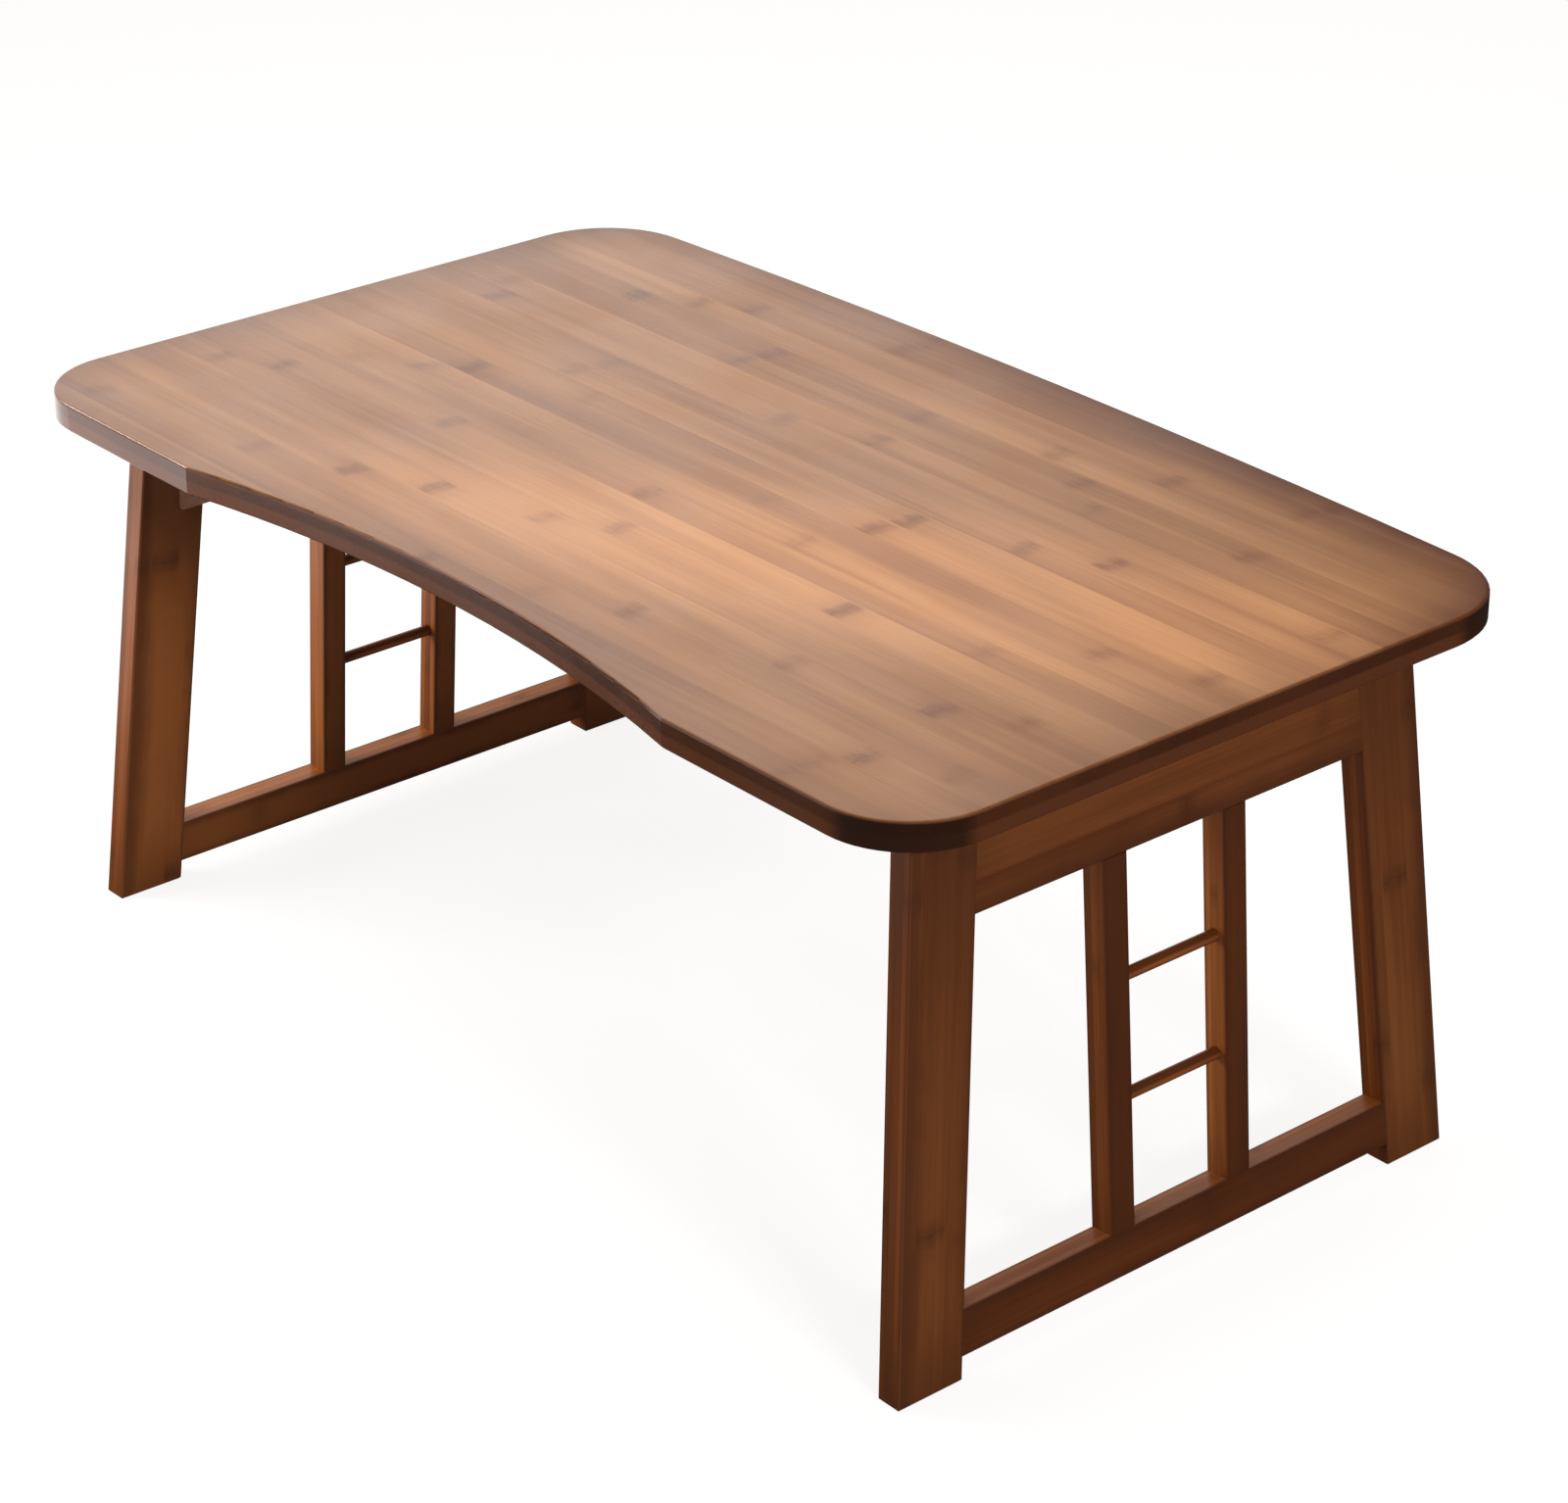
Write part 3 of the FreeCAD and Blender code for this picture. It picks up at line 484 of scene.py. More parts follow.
def board_material(groups, look):
    """Top board: wide strips, a darker rim and darker side faces, with painted shade round the corners."""
    material, tree, output = new_material("Bamboo board")
    # where the arris and the side faces start and end: in from the outline, and up from the underside
    arris_inside, arris_outside, arris_dark = 0.0016, 0.0004, 0.65
    side_inside, side_outside, side_top, side_below = 0.004, 0.002, 0.0147, 0.0135
    seam_start = 0.475
    place = table_place(tree)
    local = tree.vector("SUBTRACT", place, (BOARD_LOW.x, STRIP_START, BOARD_LOW.z))
    strips = tree.use(groups["strips"], {"Vector": local, "Ply Thickness": BOARD_PLY, "Seed": 3.0})
    _, y, height = tree.split(local)
    number, across = tree.steps(tree.math("DIVIDE", y, STRIP_WIDTH))
    tone, first, pitch = strip_table(tree, number)
    fibre = tree.use(groups["fibre"], {"Vector": local, "Strip": number, "Seed": 1.0})
    marks = tree.use(groups["marks"], {"Vector": local, "Across": across, "Strip": number, "First": first,
                                       "Pitch": pitch, "Seed": 5.0})
    amount = bamboo_tone(tree, tone, fibre, BOARD_TONE)
    colour = tree.mix(amount, look.board_light, look.board_dark)
    seam = tree.ramp(tree.math("ABSOLUTE", across), seam_start, 0.5)
    colour = marked_bamboo(tree, colour, fibre, marks, seam, look.node_mark, BOARD_MARKS)
    # darker towards the board's outline
    rim = tree.use(groups["rim"], {"Vector": place, "Width": look.rim_width})
    at_arris = tree.ramp(rim["Distance"], arris_inside, arris_outside)
    colour = tree.over(colour, [(rim["Rim"], look.rim_strength, look.smoked),
                                (at_arris, arris_dark, look.smoked)])
    below_top = tree.ramp(height, side_top, side_below)
    side = tree.math("MULTIPLY", tree.ramp(rim["Distance"], side_inside, side_outside), below_top)
    colour = tree.mix(side, colour, board_side_colour(tree, look, strips, height, rim["Corner"]))
    lacquer_bamboo(tree, output, groups, colour, local, fibre, look.board_gloss)
    return material


def member_half_sizes(name, along):
    """Half of a member's length along its grain, and of its width in its frame's plane."""
    low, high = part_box(name)
    reach = (high - low) / 2
    if "dowel" in name:
        return reach.y, reach.z
    if "rail" in name:
        return reach.y, reach.z / math.cos(LEG_TILT)
    half_length = reach.z / math.cos(LEG_TILT)
    splayed = half_length * math.tan(POST_SPLAY) if "post" in name else 0.0
    return reach.z / along.z, reach.y - splayed


def member_smoke_and_shadow(tree, groups, name, local, along, lean):
    """How dark a member was smoked at each point, with the board's painted shadow at a post's top, and which
    points are on its broad faces.
    """
    half_length, half_width = member_half_sizes(name, along)
    dowel = "dowel" in name
    inputs = {
        "Vector": local, "Half Length": half_length, "Half Width": half_width,
        "Half Thickness": half_width if dowel else MEMBER_THICKNESS / 2,
        "Lean": lean, "Arris": 0.0 if dowel else ARRIS_SMOKE,
        "Head": POST_HEAD_SHADOW if "post" in name else 0.0,
    }
    return tree.use(groups["member"], inputs)


def member_material(groups, look, name, along, through, seed, tone_and_painted_shade, lean):
    """Leg frame member: strips in plies with the grain along it, smoked at its edges and ends, with the
    board's painted shadow at a post's top.

    Its tone and painted shade say how much darker than its bamboo its broad faces and its narrow
    sides are: partly the piece's own tone, partly painted light and shade. Its lean moves the paler
    middle of the broad faces away from the outer edge.
    """
    material, tree, output = new_material(name + " bamboo")
    # node marks, in metres: how far the first may lie along, and the least and the spread of their pitch
    first_spread, pitch_least, pitch_spread = 0.2, 0.18, 0.08
    # past the dark strips' tone, where the painted shade carries it, the colour goes on towards that of the
    # marks, and reaches this share
    darkest, darkest_share = 1.6, 0.85
    low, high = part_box(name)
    local = turned_mapping(tree, (low + high) / 2, along, through)
    mid_ply = tree.vector("ADD", local, (0.0, 0.0, MEMBER_PLY / 2))
    strips = tree.use(groups["strips"], {"Vector": mid_ply, "Ply Thickness": MEMBER_PLY, "Seed": seed})
    fibre = tree.use(groups["fibre"], {"Vector": local, "Strip": strips["Strip"], "Seed": seed})
    first = tree.math("MULTIPLY", strips["Random B"], first_spread)
    pitch = tree.math("MULTIPLY_ADD", strips["Random C"], pitch_spread, pitch_least)
    marks = tree.use(groups["marks"], {"Vector": local, "Across": strips["Across"], "Strip": strips["Strip"],
                                       "First": first, "Pitch": pitch, "Seed": seed})
    mark = look.frame_mark
    smoked = member_smoke_and_shadow(tree, groups, name, local, along, lean)
    # painted light and shade of the broad faces and the narrow sides, with the piece's own tone
    shade = tree.ramp(smoked["Broad"], 0.0, 1.0, tone_and_painted_shade[1], tone_and_painted_shade[0], smooth=False)
    amount = tree.math("ADD", bamboo_tone(tree, strips["Random A"], fibre, MEMBER_TONE), shade)
    colour = tree.mix(amount, look.frame_light, look.frame_dark)
    colour = tree.mix(tree.ramp(amount, 1.0, darkest, 0.0, darkest_share, smooth=False), colour, mark)
    colour = marked_bamboo(tree, colour, fibre, marks, strips["Seam"], mark, MEMBER_MARKS)
    # smoke, and the board's painted shadow at a post's top
    colour = tree.mix(smoked["Smoke"], colour, mark)
    lacquer_bamboo(tree, output, groups, colour, local, fibre, look.frame_gloss)
    return material


def metal_material(groups, name, colour):
    """Satin metal with a rolled grain and slight tarnish."""
    material, tree, output = new_material(name)
    worn, roughness, metallic = METALS[name]
    grain_share, grain_roughness, tarnish_roughness = 0.15, 0.14, 0.12
    wear = tree.use(groups["metal"], {"Vector": table_place(tree)})
    shade = tree.mix(wear["Tarnish"], colour, worn)
    shade = tree.over(shade, [(wear["Grain"], grain_share, worn)])
    rough = tree.math("MULTIPLY_ADD", wear["Grain"], grain_roughness, roughness)
    rough = tree.math("MULTIPLY_ADD", wear["Tarnish"], tarnish_roughness, rough)
    finish_material(tree, output, shade, rough, wear["Grain"], METAL_RELIEF, {"Metallic": metallic})
    return material


def add_object(name, data):
    """Object with its data, put in the scene."""
    item = bpy.data.objects.new(name, data)
    bpy.context.scene.collection.objects.link(item)
    return item


def paint(names, material):
    """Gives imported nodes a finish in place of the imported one."""
    for name in names:
        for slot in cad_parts[name].material_slots:
            slot.material = material


class TableLook(bpy.types.PropertyGroup):
    """Colours and gloss of the table's finishes."""

    board_light: bpy.props.FloatVectorProperty(
        name="Board, light strips", description="Palest bamboo strips of the board", subtype="COLOR",
        default=(0.62, 0.300, 0.128), min=0, max=1)
    board_dark: bpy.props.FloatVectorProperty(
        name="Board, dark strips", description="Darkest bamboo strips of the board", subtype="COLOR",
        default=(0.29, 0.118, 0.046), min=0, max=1)
    node_mark: bpy.props.FloatVectorProperty(
        name="Node marks", description="Dark marks where the bamboo's nodes were", subtype="COLOR",
        default=(0.15, 0.040, 0.010), min=0, max=1)
    smoked: bpy.props.FloatVectorProperty(
        name="Dark rim", description="Darkened rim of the board", subtype="COLOR",
        default=(0.12, 0.034, 0.011), min=0, max=1)
    board_edge: bpy.props.FloatVectorProperty(
        name="Board edge", description="Lower ply on the board's side faces", subtype="COLOR",
        default=(0.125, 0.040, 0.015), min=0, max=1)
    board_edge_upper: bpy.props.FloatVectorProperty(
        name="Board edge, upper", description="Upper ply on the board's side faces", subtype="COLOR",
        default=(0.068, 0.021, 0.008), min=0, max=1)
    # Painted shade on the side faces round the board's rounded corners.
    board_corner_shade: bpy.props.FloatVectorProperty(
        name="Board corner shade", description="Painted shade round the board's corners", subtype="COLOR",
        default=(0.032, 0.012, 0.006), min=0, max=1)
    rim_width: bpy.props.FloatProperty(
        name="Rim width", description="How far the smoked rim reaches in", unit="LENGTH",
        default=0.055, min=0.001, max=0.1)
    rim_strength: bpy.props.FloatProperty(
        name="Rim strength", description="How dark the smoked rim is", subtype="FACTOR",
        default=1.0, min=0, max=1)
    board_gloss: bpy.props.FloatProperty(
        name="Board roughness", description="Roughness of the board's lacquer", subtype="FACTOR",
        default=0.26, min=0, max=1)
    frame_light: bpy.props.FloatVectorProperty(
        name="Frame, light strips", description="Palest bamboo of the leg frames", subtype="COLOR",
        default=(0.62, 0.208, 0.048), min=0, max=1)
    frame_dark: bpy.props.FloatVectorProperty(
        name="Frame, dark strips", description="Darkest bamboo of the leg frames", subtype="COLOR",
        default=(0.22, 0.057, 0.009), min=0, max=1)
    frame_mark: bpy.props.FloatVectorProperty(
        name="Frame node marks", description="Dark marks on the leg frames", subtype="COLOR",
        default=(0.075, 0.020, 0.006), min=0, max=1)
    frame_gloss: bpy.props.FloatProperty(
        name="Frame roughness", description="Roughness of the frames' lacquer", subtype="FACTOR",
        default=0.42, min=0, max=1)
    plate: bpy.props.FloatVectorProperty(
        name="Hinge leaves", description="Coppery plate of the hinge leaves", subtype="COLOR",
        default=(0.95, 0.56, 0.40), min=0, max=1)
    steel: bpy.props.FloatVectorProperty(
        name="Screws and pins", description="Steel of the screws and the pins", subtype="COLOR",
        default=(0.62, 0.60, 0.57), min=0, max=1)


class TableStudio(bpy.types.PropertyGroup):
    """Camera and lamps."""

    azimuth: bpy.props.FloatProperty(
        name="Azimuth", description="Camera's turn from the front of the table", subtype="ANGLE",
        default=math.radians(49.193))
    elevation: bpy.props.FloatProperty(
        name="Elevation", description="Camera's angle above the horizon", subtype="ANGLE",
        default=math.radians(26.138))
    roll: bpy.props.FloatProperty(
        name="Roll", description="Camera's turn about its own axis", subtype="ANGLE",
        default=math.radians(0.157))
    distance: bpy.props.FloatProperty(
        name="Distance", description="Camera's distance from its target", unit="LENGTH", default=2.22497)
    target: bpy.props.FloatVectorProperty(
        name="Target", description="Point that the camera is aimed at", subtype="XYZ", unit="LENGTH",
        default=(-0.007793, 0.048999, 0.13568))
    lens: bpy.props.FloatProperty(
        name="Lens", description="Focal length in millimetres", default=99.6106)
    shift: bpy.props.FloatVectorProperty(
        name="Shift", description="Lens shift, as shares of the picture's width", size=2,
        default=(-0.015424, -0.007685))
    key_power: bpy.props.FloatProperty(
        name="Front light", description="Power of the lamp at the front left", unit="POWER", default=8.0)
    side_power: bpy.props.FloatProperty(
        name="Side light", description="Power of the lamp on the far right", unit="POWER", default=128.0)
    edge_power: bpy.props.FloatProperty(
        name="Edge light", description="Power of the lamp in the front edge's gloss", unit="POWER",
        default=50.0)
    fill_power: bpy.props.FloatProperty(
        name="Overhead light", description="Power of the overhead light", unit="POWER", default=23.0)
    beam_power: bpy.props.FloatProperty(
        name="Beam", description="Power of the narrow warm beam over the board", unit="POWER", default=680.0)
    floor_glow: bpy.props.FloatProperty(
        name="Floor", description="Glow that makes the floor show white", default=0.86)
    sky: bpy.props.FloatProperty(
        name="Surroundings", description="Light from all round", default=0.16)


class TABLE_OT_board(bpy.types.Operator):
    """Finish of the board"""

    bl_idname = "table.board"
    bl_label = "Board"

    def execute(self, context):
        paint(["tabletop"], board_material(shared_groups(), context.scene.table_look))
        return {"FINISHED"}


def leg_axes(sign):
    """Out through a leg frame's thickness, and up along it."""
    out = Vector((sign * math.cos(LEG_TILT), 0, math.sin(LEG_TILT)))
    up = Vector((-sign * math.sin(LEG_TILT), 0, math.cos(LEG_TILT)))
    return out, up


class TABLE_OT_leg_frames(bpy.types.Operator):
    """Finish of both leg frames' members"""

    bl_idname = "table.leg_frames"
    bl_label = "Leg frames"

    def execute(self, context):
        look = context.scene.table_look
        groups = shared_groups()

        for side, sign in SIDES.items():
            out, up = leg_axes(sign)
            members = []
            for number, (end, toward) in enumerate(ENDS.items()):
                splayed = up * math.cos(POST_SPLAY) - Vector((0, toward, 0)) * math.sin(POST_SPLAY)
                members.append((end + "_post", "post", number, splayed, -POST_LEAN * toward * sign))
                members.append((end + "_mullion", "mullion", number, up, 0.0))
            for number, name in enumerate(CROSS_MEMBERS):
                members.append((name, "cross", number, Vector((0, 1, 0)), 0.0))
            for name, kind, number, along, lean in members:
                node = "%s_%s" % (side, name)
                first_seed, side_seed = MEMBER_SEEDS[kind]
                seed = number + first_seed + side_seed * sign
                # the member's own tone and the painted light and shade of its faces
                tone_and_painted_shade = [pair for ending, pair in MEMBER_TONE_AND_PAINTED_SHADE[side].items() if name.endswith(ending)][0]
                paint([node], member_material(groups, look, node, along, out, seed, tone_and_painted_shade, lean))
        return {"FINISHED"}


# Hinge screws, in metres: a countersunk head with a thin rim, and a cross recess of four arms that
# narrows downwards to a share of its mouth and ends in a point. Each was driven home by its own turn.
SCREW = {
    "head_radius": 0.00297, "shank_radius": 0.00158, "length": 0.01195, "rim": 0.00012, "tip": 0.0008,
    "recess_half_arm": 0.00045, "recess_reach": 0.0016, "recess_depth": 0.0014, "recess_point": 0.0002,
    "recess_floor_share": 0.4,
}
SCREWS_IN_NODE = 4
SAME_POINT_DIGITS, SAME_ROW_DIGITS = 6, 3
SCREW_FIRST_TURN, SCREW_NEXT_TURN = 0.3, 1.1
SHARP_ANGLE = math.radians(30)
END_FACE_DEPTH = 0.0001


def cross_outline(turn, half_arm, reach):
    """Distance from the middle of a cross recess to its outline, in the direction of turn."""
    corner = math.atan2(half_arm, reach)
    turn = turn % (math.pi / 2)
    turn = min(turn, math.pi / 2 - turn)
    return reach / math.cos(turn) if turn <= corner else half_arm / math.sin(turn)


def screw_shape(screw):
    """Points and faces of a countersunk screw that points up, with the flat of its head at the origin."""
    half_arm, reach = screw["recess_half_arm"], screw["recess_reach"]
    corner = math.atan2(half_arm, reach)
    fan = [0.0, corner / 2, corner, (corner + math.pi / 4) / 2]
    quarter = fan + [math.pi / 4] + [math.pi / 2 - turn for turn in reversed(fan[1:])]
    turns = [arm * math.pi / 2 + turn for arm in range(4) for turn in quarter]
    count = len(turns)
    head, shank, length = screw["head_radius"], screw["shank_radius"], screw["length"]
    rim, tip, depth = screw["rim"], screw["tip"], screw["recess_depth"]
    mouth = [cross_outline(turn, half_arm, reach) for turn in turns]
    rings = [([screw["recess_floor_share"] * radius for radius in mouth], depth), (mouth, 0.0)]
    for radius, height in ((head - rim, 0.0), (head, rim), (shank, head - shank + rim), (shank, length - tip),
                           (shank - tip / 2, length)):
        rings.append(([radius] * count, height))
    points = [(0.0, 0.0, depth + screw["recess_point"])]
    for radii, height in rings:
        for radius, turn in zip(radii, turns):
            points.append((radius * math.cos(turn), radius * math.sin(turn), height))
    points.append((0.0, 0.0, length))
    steps = [(i, (i + 1) % count) for i in range(count)]
    faces = [(0, 1 + after, 1 + i) for i, after in steps]
    for ring in range(len(rings) - 1):
        first, second = 1 + ring * count, 1 + (ring + 1) * count
        faces += [(first + i, first + after, second + after, second + i) for i, after in steps]
    last = 1 + (len(rings) - 1) * count
    faces += [(last + i, last + after, len(points) - 1) for i, after in steps]
    return points, faces


def loose_parts(mesh):
    """Points of each loose part of a mesh whose faces may each have points of their own."""
    spots = [tuple(round(value, SAME_POINT_DIGITS) for value in vertex.co) for vertex in mesh.vertices]
    owner = {spot: spot for spot in spots}

    def find(spot):
        while owner[spot] != spot:
            owner[spot] = owner[owner[spot]]
            spot = owner[spot]
        return spot

    for edge in mesh.edges:
        first, second = (find(spots[number]) for number in edge.vertices)
        owner[first] = second
    parts = {}
    for spot in owner:
        parts.setdefault(find(spot), []).append(Vector(spot))
    return list(parts.values())


def screw_places(mesh, axis):
    """Where the heads of a node's screws are: the middle of each solid's end face, against the axis."""
    parts = []
    for part in loose_parts(mesh):
        low = min(point.dot(axis) for point in part)
        face = [point for point in part if point.dot(axis) < low + END_FACE_DEPTH]
        middle = Vector((min(p[i] for p in face) + max(p[i] for p in face)) / 2 for i in range(3))
        parts.append(([round(value, SAME_ROW_DIGITS) for value in middle.xy], middle))
    return [middle for row, middle in sorted(parts, key=lambda part: part[0])]


def add_screws(node, body, axis, material):
    """Screws with cross recesses in place of a node's plain ones, each turned as it was driven home."""
    points, faces = screw_shape(SCREW)
    aim = axis.to_track_quat("Z", "Y").to_matrix().to_4x4()
    all_points, all_faces = [], []
    places = screw_places(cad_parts[node].data, axis)
    if len(places) != SCREWS_IN_NODE:
        raise ValueError("%s has %d screws, not %d" % (node, len(places), SCREWS_IN_NODE))
    for number, place in enumerate(places):
        driven = Matrix.Rotation(SCREW_FIRST_TURN + SCREW_NEXT_TURN * number, 4, "Z")
        turn = Matrix.Translation(place) @ aim @ driven
        start = len(all_points)
        all_points += [turn @ Vector(point) for point in points]
        all_faces += [tuple(start + corner for corner in face) for face in faces]
    mesh = bpy.data.meshes.new(node + "_crossed")
    mesh.from_pydata(all_points, [], all_faces)
    mesh.shade_smooth()
    mesh.set_sharp_from_angle(angle=SHARP_ANGLE)
    mesh.materials.append(material)
    piece = add_object(node + "_crossed", mesh)
    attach(piece, body)
    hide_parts(node)


class TABLE_OT_hinges(bpy.types.Operator):
    """Finish of the hinges, their pins and their screws"""

    bl_idname = "table.hinges"
    bl_label = "Hinges"

    def execute(self, context):
        look = context.scene.table_look
        groups = shared_groups()
        plate = metal_material(groups, "Hinge plate", look.plate)
        steel = metal_material(groups, "Screw steel", look.steel)
        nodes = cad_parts
        paint([name for name in nodes if name.endswith("leaf")], plate)
        paint([name for name in nodes if name.endswith("pin")], steel)
        for side, sign in SIDES.items():
            add_screws(side + "_hinge_board_screws", "tabletop", Vector((0, 0, 1)), steel)
            add_screws(side + "_hinge_leg_screws", side + "_leg", leg_axes(sign)[0], steel)
        return {"FINISHED"}


# The lamps, in metres: name, setting that holds the power, place, target, and then for an area lamp
# its size and colour, and for a spot lamp its angle, radius, colour and whether gloss alone shows it.
AREA_LAMPS = [
    ("Front left", "key_power", (-0.85, -0.8, 0.38), (-0.3, 0, 0.2), (0.6, 0.5), (1.0, 0.98, 0.95)),
    ("Far right", "side_power", (5.0, -1.05, 2.75), (0, 0, 0.15), (1.6, 0.5), (1.0, 0.95, 0.88)),
    ("Overhead", "fill_power", (-0.1, 0.1, 2.4), (0, 0, 0.28), (1.6, 1.2), (1.0, 0.97, 0.93)),
]
SPOT_LAMPS = [
    ("Beam", "beam_power", (-2.61, -1.25, 1.10), (0.13, -0.03, 0.298), math.radians(3.8), 0.02,
     (1.0, 0.95, 0.86), False),
    ("Edge light", "edge_power", (-1.23, -0.64, 0.87), (-0.27, -0.2, 0.298), math.radians(12), 0.12,
     (1.0, 0.96, 0.94), True),
]


def hang_lamp(lamp, place, target, power, colour):
    """Lamp's object, aimed at a target and not shown by gloss."""
    lamp.energy = power
    lamp.color = colour
    item = add_object(lamp.name, lamp)
    item.location = place
    item.rotation_euler = (Vector(target) - Vector(place)).to_track_quat("-Z", "Y").to_euler()
    item.visible_glossy = False
    return item


def add_lamps(studio):
    """Soft area lamps and narrow spots with soft sides. A spot that gloss shows is seen only there."""
    for name, setting, place, target, size, colour in AREA_LAMPS:
        lamp = bpy.data.lights.new(name, "AREA")
        lamp.shape = "RECTANGLE"
        lamp.size, lamp.size_y = size
        hang_lamp(lamp, place, target, getattr(studio, setting), colour)
    for name, setting, place, target, angle, radius, colour, in_gloss in SPOT_LAMPS:
        lamp = bpy.data.lights.new(name, "SPOT")
        lamp.spot_size = angle
        lamp.spot_blend = 1.0
        lamp.shadow_soft_size = radius
        item = hang_lamp(lamp, place, target, getattr(studio, setting), colour)
        item.visible_glossy = in_gloss
        item.visible_diffuse = not in_gloss


SENSOR_WIDTH = 36.0
CLIP_START, CLIP_END = 0.1, 50.0


def add_camera(studio):
    """Camera at the photographed viewing angle."""
    azimuth, elevation = studio.azimuth, studio.elevation
    back = Vector((math.cos(elevation) * math.sin(azimuth), -math.cos(elevation) * math.cos(azimuth),
                   math.sin(elevation)))
    right = Vector((0, 0, 1)).cross(back).normalized()
    up = back.cross(right)
    turned_right = right * math.cos(studio.roll) + up * math.sin(studio.roll)
    turned_up = up * math.cos(studio.roll) - right * math.sin(studio.roll)
    data = bpy.data.cameras.new("Camera")
    data.lens = studio.lens
    data.sensor_width = SENSOR_WIDTH
    data.shift_x, data.shift_y = studio.shift
    data.clip_start, data.clip_end = CLIP_START, CLIP_END
    item = add_object("Camera", data)
    turn = Matrix((turned_right, turned_up, back)).transposed().to_4x4()
    item.matrix_world = Matrix.Translation(Vector(studio.target) + back * studio.distance) @ turn
    bpy.context.scene.camera = item


def seen_directly(tree):
    """Mask of the rays that show the background (camera, gloss, glass), and mask of gloss alone."""
    path = tree.new("ShaderNodeLightPath").outputs
    seen = tree.math("MAXIMUM", path["Is Camera Ray"], path["Is Glossy Ray"])
    return tree.math("MAXIMUM", seen, path["Is Transmission Ray"]), path["Is Glossy Ray"]


def brightness_ramp(tree, value, steps):
    """Brightness over a value, from pairs of value and brightness."""
    low, high = steps[0][0], steps[-1][0]
    peak = max(level for place, level in steps)
    node = tree.new("ShaderNodeValToRGB", {"Fac": tree.ramp(value, low, high, smooth=False)})
    ramp = node.color_ramp
    while len(ramp.elements) < len(steps):
        ramp.elements.new(1.0)
    for element, (place, level) in zip(ramp.elements, steps):
        element.position = (place - low) / (high - low)
        element.color = (level / peak,) * 3 + (1.0,)
    return tree.math("MULTIPLY", node.outputs["Color"], peak)


# What gloss shows of the studio. A broad pale wall stands on the left: how bright the studio is, by
# the turn in degrees from the back of the table towards its left. The floor is bright beside that
# wall: how bright it is, by the distance in metres to the right of the table's middle.
STUDIO_WALL = [(-180, 0.10), (0, 0.08), (41, 0.04), (45, 0.85), (50, 1.35), (58, 1.5), (90, 1.5), (105, 1.5),
               (119, 1.0), (126, 0.4), (135, 0.10), (180, 0.10)]
STUDIO_FLOOR = [(-1.2, 2.5), (-0.8, 2.2), (-0.64, 1.8), (-0.58, 0.4), (-0.53, 0.08), (-0.3, 0.04),
                (1.0, 0.03)]

# Colours of the floor as it shows, as it lights the table and in gloss, and of the surroundings.
FLOOR_REACH = 6.0
FLOOR_SHOWN = (0.3, 0.29, 0.28)
FLOOR_BOUNCE = (0.62, 0.59, 0.56)
FLOOR_SHEEN = (1.0, 0.93, 0.91)
SKY_COLOUR = (1.0, 0.98, 0.96)
WALL_COLOUR = (1.0, 0.97, 0.96)
WHITE = (1.0, 1.0, 1.0)


def add_floor(studio):
    """Pale floor that shows white, keeps a faint shadow and is bright in gloss on the left.

    It is clear from below, so that the underside of the table can be looked at.
    """
    mesh = bpy.data.meshes.new("Floor")
    corners = [(x * FLOOR_REACH, y * FLOOR_REACH, 0) for x, y in ((-1, -1), (1, -1), (1, 1), (-1, 1))]
    mesh.from_pydata(corners, [], [(0, 1, 2, 3)])
    floor = add_object("Floor", mesh)
    material, tree, output = new_material("Pale floor")
    seen, glossy = seen_directly(tree)
    plain = tree.shader("BsdfDiffuse", {"Color": FLOOR_SHOWN})
    bounce = tree.shader("BsdfDiffuse", {"Color": FLOOR_BOUNCE})
    glow = tree.shader("Emission", {"Color": WHITE, "Strength": studio.floor_glow})
    shown = tree.shader("AddShader", {0: plain, 1: glow})
    brightness = brightness_ramp(tree, tree.split(table_place(tree))[0], STUDIO_FLOOR)
    sheen = tree.shader("Emission", {"Color": FLOOR_SHEEN, "Strength": brightness})
    visible = tree.shader("MixShader", {0: glossy, 1: shown, 2: sheen})
    above = tree.shader("MixShader", {0: seen, 1: bounce, 2: visible})
    below = tree.new("ShaderNodeNewGeometry").outputs["Backfacing"]
    clear = tree.shader("BsdfTransparent", {})
    tree.feed(output.inputs["Surface"], tree.shader("MixShader", {0: below, 1: above, 2: clear}))
    material.cycles.emission_sampling = "NONE"
    mesh.materials.append(material)


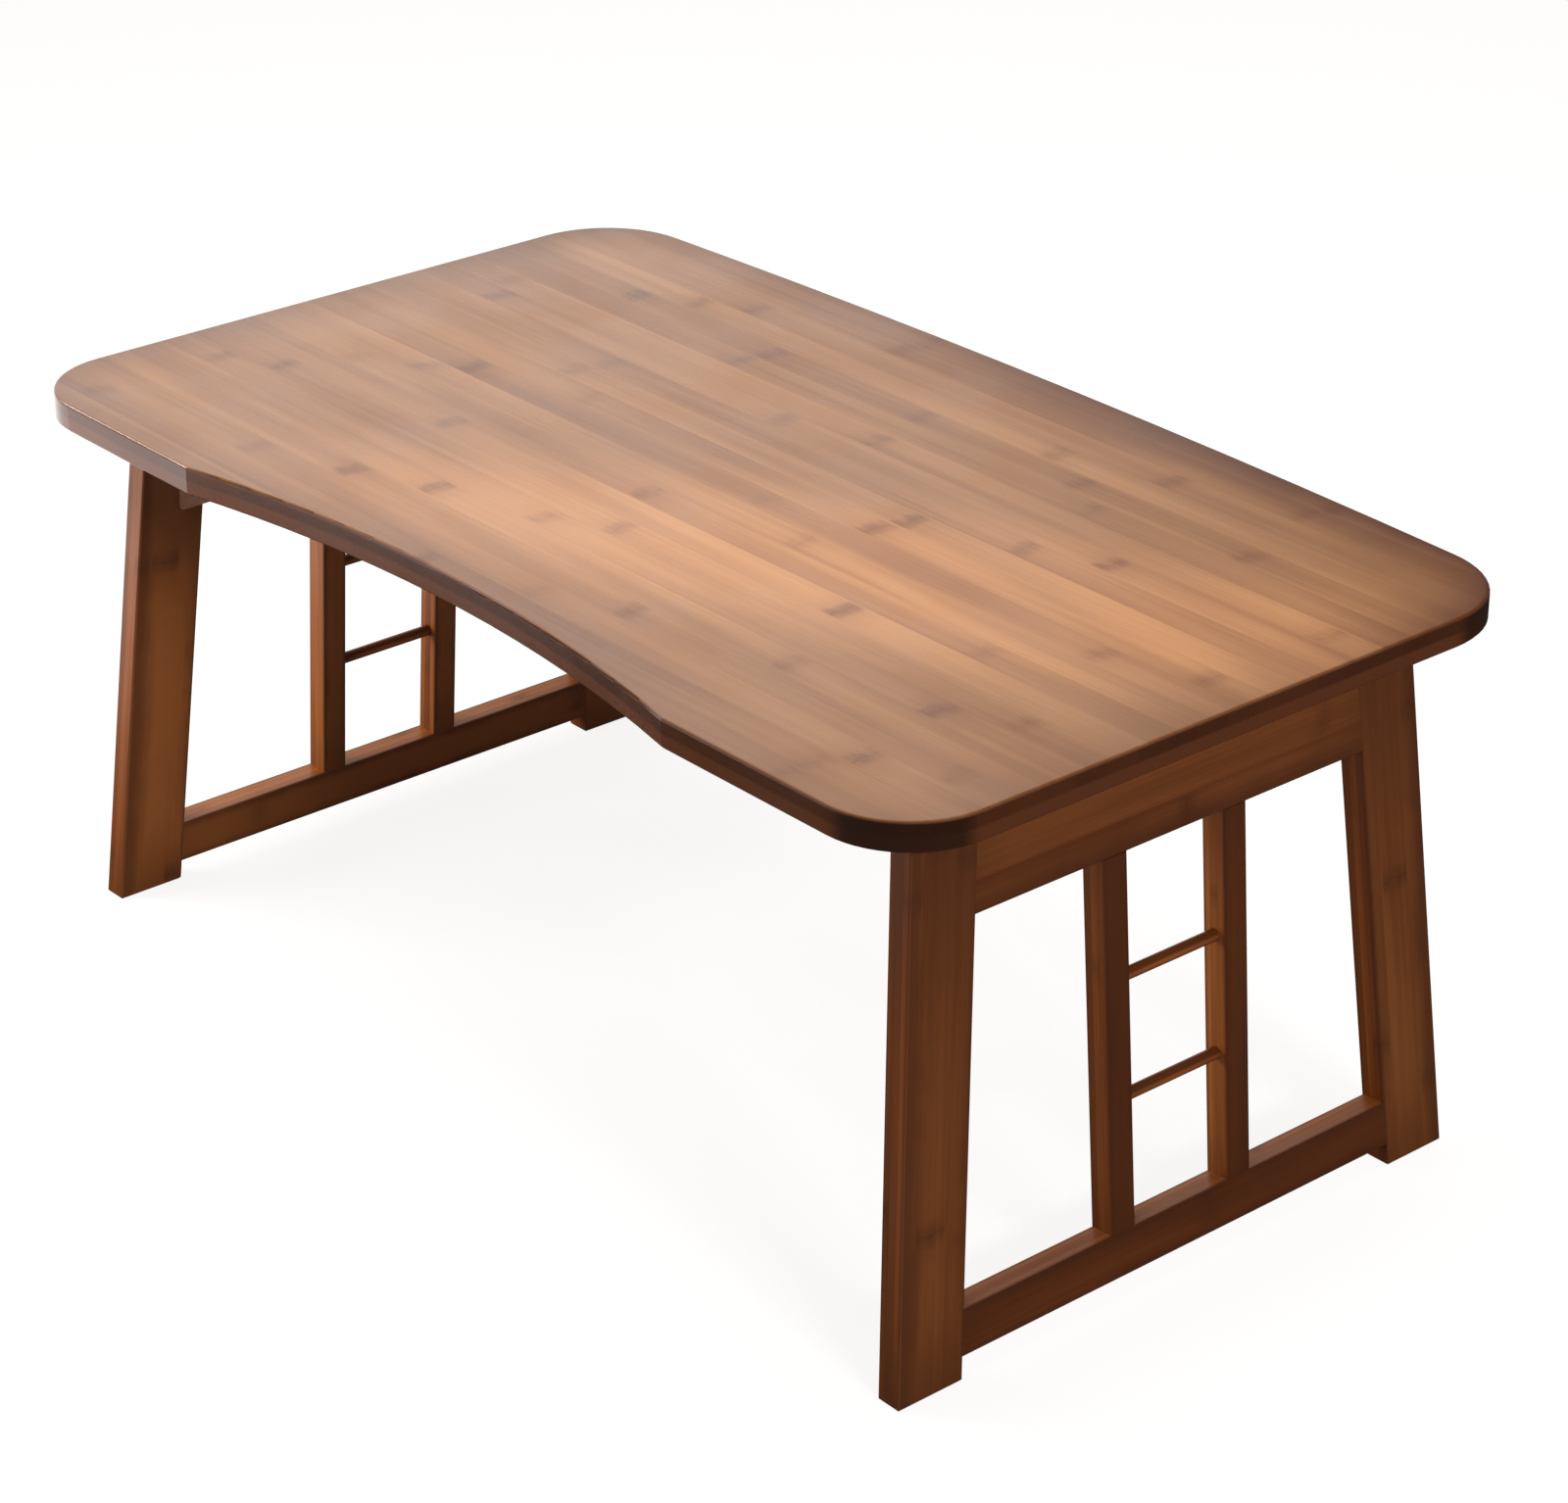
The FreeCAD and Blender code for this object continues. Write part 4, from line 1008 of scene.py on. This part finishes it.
def add_world(studio):
    """White surroundings to the eye, a soft light on the table and a pale wall in its gloss."""
    world = bpy.data.worlds.new("Surroundings")
    world.use_nodes = True
    tree = Tree(world.node_tree)
    world.node_tree.nodes.clear()
    seen, glossy = seen_directly(tree)
    x, y, _ = tree.split(tree.new("ShaderNodeTexCoord").outputs["Generated"])
    turn = tree.math("DEGREES", tree.math("ARCTAN2", tree.math("MULTIPLY", x, -1.0), y))
    brightness = brightness_ramp(tree, turn, STUDIO_WALL)
    lit = tree.shader("Background", {"Color": SKY_COLOUR, "Strength": studio.sky})
    wall = tree.shader("Background", {"Color": WALL_COLOUR, "Strength": brightness})
    white = tree.shader("Background", {"Color": WHITE, "Strength": 1.0})
    visible = tree.shader("MixShader", {0: glossy, 1: white, 2: wall})
    output = tree.new("ShaderNodeOutputWorld")
    tree.feed(output.inputs["Surface"], tree.shader("MixShader", {0: seen, 1: lit, 2: visible}))
    world.cycles.sampling_method = "NONE"
    bpy.context.scene.world = world


class TABLE_OT_stage(bpy.types.Operator):
    """Floor, lamps, surroundings and camera"""

    bl_idname = "table.stage"
    bl_label = "Stage"

    def execute(self, context):
        studio = context.scene.table_studio
        add_camera(studio)
        add_floor(studio)
        add_world(studio)
        add_lamps(studio)
        context.scene.view_settings.view_transform = "Standard"
        return {"FINISHED"}


class TABLE_PT_panel(bpy.types.Panel):
    """Sizes, colours and steps of the table"""

    bl_label = "Folding table"
    bl_idname = "TABLE_PT_panel"
    bl_space_type = "VIEW_3D"
    bl_region_type = "UI"
    bl_category = "Table"

    def draw(self, context):
        for settings in (context.scene.table_look, context.scene.table_studio):
            box = self.layout.box()
            for name in settings.__annotations__:
                box.prop(settings, name)
        for step in STEPS:
            self.layout.operator(step.bl_idname)


STEPS = (TABLE_OT_board, TABLE_OT_leg_frames, TABLE_OT_hinges, TABLE_OT_stage)
CLASSES = (TableLook, TableStudio) + STEPS + (TABLE_PT_panel,)


def register():
    for item in CLASSES:
        bpy.utils.register_class(item)
    bpy.types.Scene.table_look = bpy.props.PointerProperty(type=TableLook)
    bpy.types.Scene.table_studio = bpy.props.PointerProperty(type=TableStudio)


def unregister():
    del bpy.types.Scene.table_studio
    del bpy.types.Scene.table_look
    for item in reversed(CLASSES):
        bpy.utils.unregister_class(item)


def main():
    register()
    bpy.ops.table.board()
    bpy.ops.table.leg_frames()
    bpy.ops.table.hinges()
    bpy.ops.table.stage()


if __name__ == "__main__":
    main()
